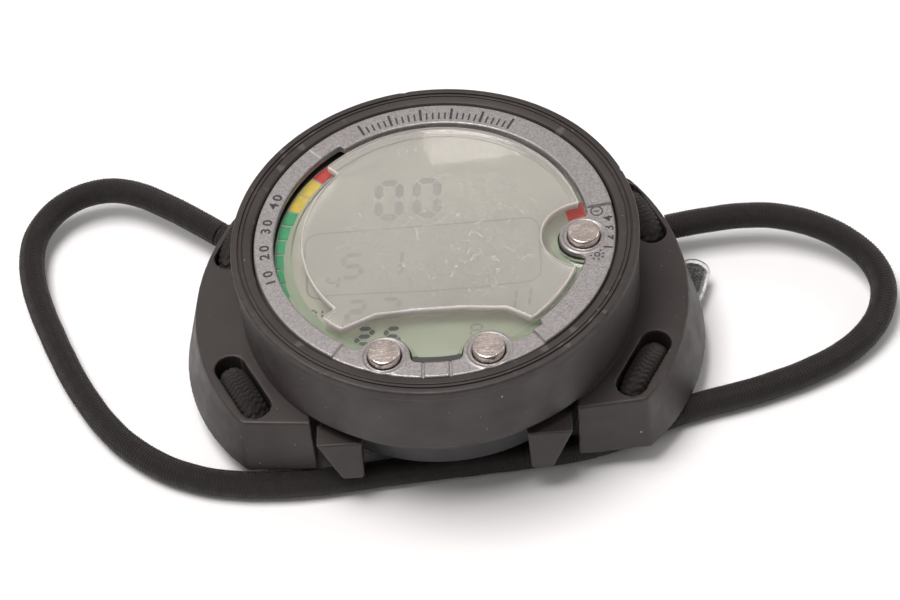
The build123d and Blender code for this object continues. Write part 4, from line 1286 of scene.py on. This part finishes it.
def cord_mesh(name, points, c, radius=None, spacing=0.125, ring=40, ends=True, stretch=1.0):
    """Braided tube: centre + (R + relief * plait) * (side cos a + up sin a)."""
    radius = c.diameter / 2 if radius is None else radius
    line, at = even_points(points, spacing)
    _, side, up = carried_frame(line)
    rows = len(line)
    a = np.linspace(0, 2 * pi, ring, endpoint=False)[None, :]
    around = a / (2 * pi)
    along = at[:, None] / (c.stitch * stretch)
    lift = c.relief * stretch ** 2 * (plait_height(around, along, c.carriers) - 0.75)
    thick = radius - 0.02 + lift + 0.03 * np.sin(at[:, None] * 0.9) * np.sin(a + at[:, None] * 0.13)
    if ends:
        close = np.sqrt(np.clip(1 - np.clip(1 - np.minimum(at, at[-1] - at) / 0.9, 0, 1) ** 2, 0.0, 1))[:, None]
        thick = thick * (0.25 + 0.75 * close)
    outward_at = side[:, None, :] * np.cos(a)[..., None] + up[:, None, :] * np.sin(a)[..., None]
    ringed = line[:, None, :] + thick[..., None] * outward_at
    points_all = np.vstack([ringed.reshape(-1, 3), line[:1], line[-1:]])
    quads = grid_faces(rows, ring, wrap_columns=True)
    tris = np.vstack([quads[:, [0, 1, 2]], quads[:, [0, 2, 3]]])
    i = np.arange(ring)
    j = (i + 1) % ring
    first, last = len(points_all) - 2, len(points_all) - 1
    start = np.stack([j, i, np.full(ring, first)], axis=-1)
    finish = np.stack([i + (rows - 1) * ring, j + (rows - 1) * ring, np.full(ring, last)], axis=-1)
    uv = np.stack([np.broadcast_to(around * c.carriers, (rows, ring)),
                   np.broadcast_to(along, (rows, ring))], axis=-1).reshape(-1, 2)
    uv = np.vstack([uv, uv[:1], uv[-1:]])
    mesh = mesh_from(name, points_all, np.vstack([tris, start, finish]), uv)
    return outward(mesh)


def fibre_mesh(name, points, c, seed, reach=0.55):
    """Loose fibres: each a tapering strip of three bent steps, rooted on the
    cord and leaning along it, placed by a seeded generator."""
    rng = np.random.default_rng(seed)
    line, at = even_points(points, 0.2)
    tangent, side, up = carried_frame(line)
    count = int(at[-1] * c.fuzz)
    where = rng.integers(2, len(line) - 2, count)
    a = rng.uniform(0, 2 * pi, count)
    out = side[where] * np.cos(a)[:, None] + up[where] * np.sin(a)[:, None]
    across = -side[where] * np.sin(a)[:, None] + up[where] * np.cos(a)[:, None]
    lean = tangent[where] * rng.choice([-1, 1], count)[:, None]
    length = reach * rng.uniform(0.35, 1.0, count) ** 1.5
    root = line[where] + out * (c.diameter / 2 - 0.08)
    swing = rng.uniform(-0.9, 0.9, count)[:, None]
    width = 0.018
    rows = []
    for step, thick in ((0.0, 1.0), (0.4, 0.8), (0.75, 0.55), (1.0, 0.25)):
        course = out * step * (1.0 - 0.35 * step) + lean * step * step * 0.9 + across * swing * step * step
        centre = root + length[:, None] * course
        rows.append(centre - lean * width * thick)
        rows.append(centre + across * width * thick * 0.8 + lean * width * thick)
    points_all = np.stack(rows, axis=1).reshape(-1, 3)
    base = (np.arange(count) * 8)[:, None, None]
    pattern = np.array([(0, 1, 3), (0, 3, 2), (2, 3, 5), (2, 5, 4), (4, 5, 7), (4, 7, 6)])[None]
    faces = (base + pattern).reshape(-1, 3)
    points_all[:, 2] = np.maximum(points_all[:, 2], 0.05)
    uv = np.zeros((len(points_all), 2))
    return mesh_from(name, points_all, faces, uv)


def ball_knot(centre, radius):
    """Overhand knot as three fat lobes: a trefoil squashed into a ball.

    x = (sin t + 2 sin 2t), y = (cos t - 2 cos 2t), z = -sin 3t, scaled.
    """
    t = np.linspace(0, 2 * pi, 220)
    lobe = np.stack([np.sin(t) + 2 * np.sin(2 * t), np.cos(t) - 2 * np.cos(2 * t), -1.25 * np.sin(3 * t)], axis=-1)
    lobe *= (radius - KNOT_STRAND_R) / 3.0
    return np.asarray(centre) + lobe


def build_cord(c):
    """Free cord, held lacings, knots, tail and sleeve, all with one sheath."""
    sheath = yarn("plaited_sheath", c.colour)
    fibre = Finish("loose_fibre", roughness=0.8, specular=0.2)
    fibre.link("Base Color", use_group(fibre.tree, "drift", fibre.place, Scale=400.0,
                                       First=shade(c.colour, 1.2), Second=shade(c.colour, 3, 0.006)))
    line = spline_points("loop_line", LOOP_ROUTE)
    free = new_object("bungee_sheath", cord_mesh("bungee_sheath", line, c, ends=False))
    place(free, sheath, "bungee_cord", stands_for=("bungee_loop",))
    fuzz = new_object("bungee_fuzz", fibre_mesh("bungee_fuzz", line, c, 11))
    place(fuzz, fibre.material, "bungee_cord")
    tail_line = spline_points("tail_line", TAIL_ROUTE)
    tail = new_object("tail_sheath", cord_mesh("tail_sheath", tail_line, c))
    place(tail, sheath, "bungee_cord", stands_for=("bungee_tail",))
    sleeve = frame_copy("tail_sleeve", "clear_sleeve")
    sleeve.data.polygons.foreach_set("use_smooth", np.ones(len(sleeve.data.polygons), dtype=bool))
    sleeve.data.set_sharp_from_angle(angle=radians(45))
    place(sleeve, clear_plastic("clear_tube", 0.06, (0.98, 0.98, 0.98)), "clear_plastic", stands_for=("tail_sleeve",))
    for side, sign in SIDES.items():
        route = [(p[0] * MM, p[1] * MM, p[2] * MM) for p in lacing_route(sign)]
        held = spline_points(f"lacing_line_{side}", route)
        mesh = cord_mesh(f"lacing_sheath_{side}", held, c, radius=HELD_R, stretch=1.3)
        lacing = new_object(f"lacing_sheath_{side}", mesh)
        place(lacing, sheath, "bungee_cord", stands_for=(f"bungee_lacing_{side}",))
        mesh = fibre_mesh(f"lacing_fuzz_{side}", held, c, 23 + int(sign), reach=0.4)
        fluff = new_object(f"lacing_fuzz_{side}", mesh)
        place(fluff, fibre.material, "bungee_cord")
        low, high = node_box(f"bungee_knot_{side}")
        middle = (low + high) / 2
        knot_line = ball_knot(middle, (high[0] - low[0]) / 2)
        mesh = cord_mesh(f"knot_{side}", knot_line, c, radius=KNOT_STRAND_R, spacing=0.2, ring=32, ends=False)
        knot = new_object(f"knot_{side}", mesh)
        place(knot, sheath, "bungee_cord", stands_for=(f"bungee_knot_{side}",))


def lacing_route(sign):
    """Held cord of one wing: out of the back slot, over its bar, under the wing,
    up through the front slot, over that bar and down to the knot."""
    def at(place, z):
        return np.array([sign * place[0], place[1], z])
    leave = LOOP_ROUTE[0] if sign < 0 else LOOP_ROUTE[-1]
    back_outer, back_inner = polar(36.7, 32.0), polar(36.55, 17.0)
    front_outer, front_inner = polar(36.4, -35.4), polar(36.4, -21.0)
    return np.array([
        np.array(leave) / MM, at(back_outer, 4.8), at(back_outer, 12.6), at(polar(36.65, 29.0), 14.7),
        at(polar(36.6, 20.0), 14.7), at(back_inner, 12.6), at(back_inner, 5.4),
        at(polar(31.95, 6.0), 5.6), at(polar(31.45, -9.0), 6.0), at(polar(31.95, -25.0), 6.6), at(front_outer, 7.0),
        at(front_outer, 11.8), at(polar(36.4, -32.4), 13.9), at(polar(36.4, -24.0), 13.9), at(front_inner, 11.8),
        at(front_inner, 5.6), at(polar(37.1, -6.0), 5.5),
    ])


# ---- underside and inside -----------------------------------------------
def build_underside():
    """Case back, battery door, lock ring and screws, with eased edges."""
    black = plastic("case_plastic_black", (0.028, 0.027, 0.028), 0.46)
    door = plastic("door_plastic_black", (0.036, 0.035, 0.037), 0.4, grain=5200.0)
    ring = plastic("lock_ring_plastic", (0.05, 0.048, 0.05), 0.38, grain=5200.0)
    steel = polished_steel("screw_steel", (0.50, 0.49, 0.47), 0.28)
    place(softened("case_back", "case_back_skin", 0.22), black, "case_plastic", stands_for=("case_back",))
    place(softened("battery_door", "battery_door_skin", 0.25), door, "door_plastic", stands_for=("battery_door",))
    place(softened("battery_lock_ring", "lock_ring_skin", 0.2), ring, "door_plastic", body="lock_ring",
          stands_for=("battery_lock_ring",))
    place(softened("case_screws", "case_screws_skin", 0.1, 2), steel, "button_steel", stands_for=("case_screws",))
    shapes = []
    under = float(node_box("battery_door")[0][2]) + SKIN_LIFT
    for degrees in range(0, 360, 12):
        x, y = polar(12.6, degrees)
        points, tris = bar_shape(1.6 if degrees % 36 else 2.6, 0.3)
        points = turned_points(points, degrees, x, y, under)
        shapes.append((points, tris[:, ::-1]))
    marks = new_object("door_ticks", joined("door_ticks", shapes))
    place(marks, printed("door_ink", (0.42, 0.42, 0.42), 0.5), "silver_plate")


def build_inside():
    """Finishes of the pieces that only show through the window or when open."""
    dress(plastic("case_wall_plastic", (0.03, 0.03, 0.03), 0.5), "case_body")
    dress(plastic("display_frame_plastic", (0.16, 0.16, 0.15), 0.5), "lcd_frame")
    dress(plastic("light_guide_white", (0.72, 0.73, 0.70), 0.35), "backlight_panel")
    dress(plastic("contact_strip_rubber", (0.12, 0.09, 0.09), 0.6), "zebra_strips")
    dress(plastic("switch_plastic", (0.09, 0.09, 0.095), 0.45), "tact_switches")
    dress(plastic("chip_epoxy", (0.018, 0.018, 0.02), 0.38), "microcontroller")
    dress(plastic("seal_rubber_black", (0.02, 0.019, 0.019), 0.55), "case_gasket", "battery_door_seal",
          "button_seal_left", "button_seal_right", "button_seal_side")
    dress(polished_steel("spring_wire", (0.55, 0.54, 0.52), 0.25), "battery_contact_spring", "button_spring_left",
          "button_spring_right", "button_spring_side", "button_clip_left", "button_clip_right", "button_clip_side")
    dress(polished_steel("cell_can", (0.66, 0.65, 0.62), 0.2), "battery_cell")
    dress(polished_steel("crystal_can", (0.6, 0.6, 0.6), 0.22), "clock_crystal", "pressure_sensor")
    dress(polished_steel("buzzer_brass", (0.72, 0.52, 0.22), 0.3), "buzzer")
    dress(polished_steel("coil_copper", (0.60, 0.30, 0.16), 0.35), "backlight_coil")
    board = Finish("board_lacquer", roughness=0.35)
    tracks = board.tree.nodes.new("ShaderNodeTexBrick")
    tracks.inputs["Scale"].default_value = 420.0
    tracks.inputs["Color1"].default_value = (0.012, 0.10, 0.035, 1.0)
    tracks.inputs["Color2"].default_value = (0.016, 0.14, 0.05, 1.0)
    tracks.inputs["Mortar"].default_value = (0.03, 0.22, 0.08, 1.0)
    board.tree.links.new(board.place, tracks.inputs["Vector"])
    board.link("Base Color", tracks.outputs["Color"])
    board.bump(tracks.outputs["Fac"], 0.2, 0.00003)
    dress(board.material, "circuit_board")


# ---- stage --------------------------------------------------------------
LAMP_TARGET = (0.0, 0.0, 0.01)
WARM_WHITE = (1.0, 0.95, 0.93)


def add_light(name, sides, energy, where):
    lamp = bpy.data.lights.new(name, "AREA")
    lamp.shape = "RECTANGLE"
    lamp.size, lamp.size_y = sides
    lamp.energy = energy
    lamp.color = WARM_WHITE
    obj = bpy.data.objects.new(name, lamp)
    obj.location = where
    obj.rotation_euler = (Vector(LAMP_TARGET) - Vector(where)).to_track_quat("-Z", "Y").to_euler()
    bpy.context.scene.collection.objects.link(obj)


CAMERA_TARGET = (0.00207, -0.0107, 0.026)


def build_camera(s):
    """Camera at target + distance * back, rolled about its own axis."""
    e, a, roll = s.elevation, s.azimuth, s.roll
    back = Vector((sin(a) * cos(e), -cos(a) * cos(e), sin(e)))
    right = Vector((cos(a), sin(a), 0.0))
    up = back.cross(right)
    right, up = cos(roll) * right + sin(roll) * up, -sin(roll) * right + cos(roll) * up
    camera = bpy.data.cameras.new("camera")
    camera.lens = s.lens
    camera.sensor_width = 36.0
    camera.clip_start = 0.01
    camera.clip_end = 20.0
    obj = bpy.data.objects.new("camera", camera)
    turn = Matrix((right, up, back)).transposed()
    where = Vector(CAMERA_TARGET) + s.distance * MM * back
    obj.matrix_world = Matrix.Translation(where) @ turn.to_4x4()
    bpy.context.scene.collection.objects.link(obj)
    bpy.context.scene.camera = obj


def build_stage(s):
    """Pale floor, pale surroundings, and three soft lamps."""
    reach, under = 3.0 / MM, -0.02
    corners = np.array([(x * reach, y * reach, under) for x, y in ((-1, -1), (1, -1), (1, 1), (-1, 1))])
    floor = new_object("floor", mesh_from("floor", corners, [(0, 1, 2, 3)]))
    paper = Finish("pale_paper", roughness=0.8, specular=0.1)
    paper.link("Base Color", use_group(paper.tree, "drift", paper.place, Scale=6.0,
                                       First=(0.93, 0.955, 0.965), Second=(0.94, 0.962, 0.972)))
    floor.data.materials.append(paper.material)
    world = bpy.data.worlds.new("studio")
    world.use_nodes = True
    tree = world.node_tree
    sky = tree.nodes["Background"]
    sky.inputs["Strength"].default_value = s.surround
    direction = tree.nodes.new("ShaderNodeTexCoord")
    split = tree.nodes.new("ShaderNodeSeparateXYZ")
    tree.links.new(direction.outputs["Generated"], split.inputs["Vector"])
    behind = remap(tree, split.outputs["Y"], -0.75, 0.85)
    tree.links.new(mix_colour(tree, behind, (0.30, 0.275, 0.27), (1.0, 0.945, 0.925)), sky.inputs["Color"])
    bpy.context.scene.world = world
    add_light("key_lamp", (0.42, 0.34), s.key, (-0.16, -0.02, 0.74))
    add_light("side_lamp", (0.3, 0.3), s.side, (0.55, 0.18, 0.30))
    add_light("front_lamp", (0.5, 0.3), s.fill, (-0.25, -0.55, 0.5))
    view = bpy.context.scene.view_settings
    view.view_transform = "Standard"
    view.look = "None"
    view.exposure = 0.0


# ---- add-on -------------------------------------------------------------
class DiveStep:
    bl_options = {"REGISTER", "UNDO"}


class DIVE_OT_camera(DiveStep, bpy.types.Operator):
    """Camera above the six o'clock side of the display"""
    bl_idname = "dive.camera"
    bl_label = "Camera"

    def execute(self, context):
        build_camera(in_mm(context.scene.dive_stage))
        return {"FINISHED"}


class DIVE_OT_cord(DiveStep, bpy.types.Operator):
    """Braided bungee: free loops, held lacings, knots, tail and sleeve"""
    bl_idname = "dive.cord"
    bl_label = "Bungee cord"

    def execute(self, context):
        build_cord(in_mm(context.scene.dive_cord))
        return {"FINISHED"}


class DIVE_OT_boot(DiveStep, bpy.types.Operator):
    """Rubber boot: cup, two wings and four legs"""
    bl_idname = "dive.boot"
    bl_label = "Rubber boot"

    def execute(self, context):
        build_boot(in_mm(context.scene.dive_boot))
        return {"FINISHED"}


class DIVE_OT_plate(DiveStep, bpy.types.Operator):
    """Silver plate round the display, with its printed marks"""
    bl_idname = "dive.plate"
    bl_label = "Silver plate"

    def execute(self, context):
        settings = in_mm(context.scene.dive_plate)
        build_plate(settings)
        build_plate_marks(settings)
        return {"FINISHED"}


class DIVE_OT_display(DiveStep, bpy.types.Operator):
    """Liquid crystal panel with its segments, and the printed scale beside it"""
    bl_idname = "dive.display"
    bl_label = "Display"

    def execute(self, context):
        build_display(in_mm(context.scene.dive_display))
        build_scale()
        return {"FINISHED"}


class DIVE_OT_windows(DiveStep, bpy.types.Operator):
    """Clear window and the scuffed shield over it"""
    bl_idname = "dive.windows"
    bl_label = "Window and shield"

    def execute(self, context):
        build_windows(in_mm(context.scene.dive_display))
        return {"FINISHED"}


class DIVE_OT_buttons(DiveStep, bpy.types.Operator):
    """Three polished steel buttons"""
    bl_idname = "dive.buttons"
    bl_label = "Buttons"

    def execute(self, context):
        build_buttons(in_mm(context.scene.dive_buttons))
        return {"FINISHED"}


class DIVE_OT_underside(DiveStep, bpy.types.Operator):
    """Case back, battery door, lock ring and screws"""
    bl_idname = "dive.underside"
    bl_label = "Underside"

    def execute(self, context):
        build_underside()
        return {"FINISHED"}


class DIVE_OT_inside(DiveStep, bpy.types.Operator):
    """Finishes of the case wall, board, cell, springs and seals"""
    bl_idname = "dive.inside"
    bl_label = "Inside"

    def execute(self, context):
        build_inside()
        return {"FINISHED"}


class DIVE_OT_stage(DiveStep, bpy.types.Operator):
    """Pale floor and soft studio lamps"""
    bl_idname = "dive.stage"
    bl_label = "Stage"

    def execute(self, context):
        build_stage(in_mm(context.scene.dive_stage))
        return {"FINISHED"}


STEPS = (DIVE_OT_camera, DIVE_OT_cord, DIVE_OT_boot, DIVE_OT_plate, DIVE_OT_display, DIVE_OT_windows,
         DIVE_OT_buttons, DIVE_OT_underside, DIVE_OT_inside, DIVE_OT_stage)
SETTINGS = {"dive_boot": BootSettings, "dive_plate": PlateSettings, "dive_display": DisplaySettings,
            "dive_buttons": ButtonSettings, "dive_cord": CordSettings, "dive_stage": StageSettings}


class DIVE_PT_panel(bpy.types.Panel):
    """Settings and steps of the dive computer"""
    bl_idname = "DIVE_PT_panel"
    bl_label = "Dive Computer"
    bl_space_type = "VIEW_3D"
    bl_region_type = "UI"
    bl_category = "Dive Computer"

    def draw(self, context):
        for name, settings in SETTINGS.items():
            box = self.layout.box()
            box.label(text=name.replace("dive_", "").capitalize())
            for key in settings.__annotations__:
                box.prop(getattr(context.scene, name), key)
        for step in STEPS:
            self.layout.operator(step.bl_idname)


def register():
    for settings in SETTINGS.values():
        bpy.utils.register_class(settings)
    for name, settings in SETTINGS.items():
        setattr(bpy.types.Scene, name, bpy.props.PointerProperty(type=settings))
    for step in STEPS:
        bpy.utils.register_class(step)
    bpy.utils.register_class(DIVE_PT_panel)


def unregister():
    bpy.utils.unregister_class(DIVE_PT_panel)
    for step in reversed(STEPS):
        bpy.utils.unregister_class(step)
    for name in SETTINGS:
        delattr(bpy.types.Scene, name)
    for settings in reversed(list(SETTINGS.values())):
        bpy.utils.unregister_class(settings)


def main():
    register()
    build_groups()
    for step in STEPS:
        group_name, name = step.bl_idname.split(".")
        getattr(getattr(bpy.ops, group_name), name)()
    bpy.context.view_layer.update()


if __name__ == "__main__":
    main()
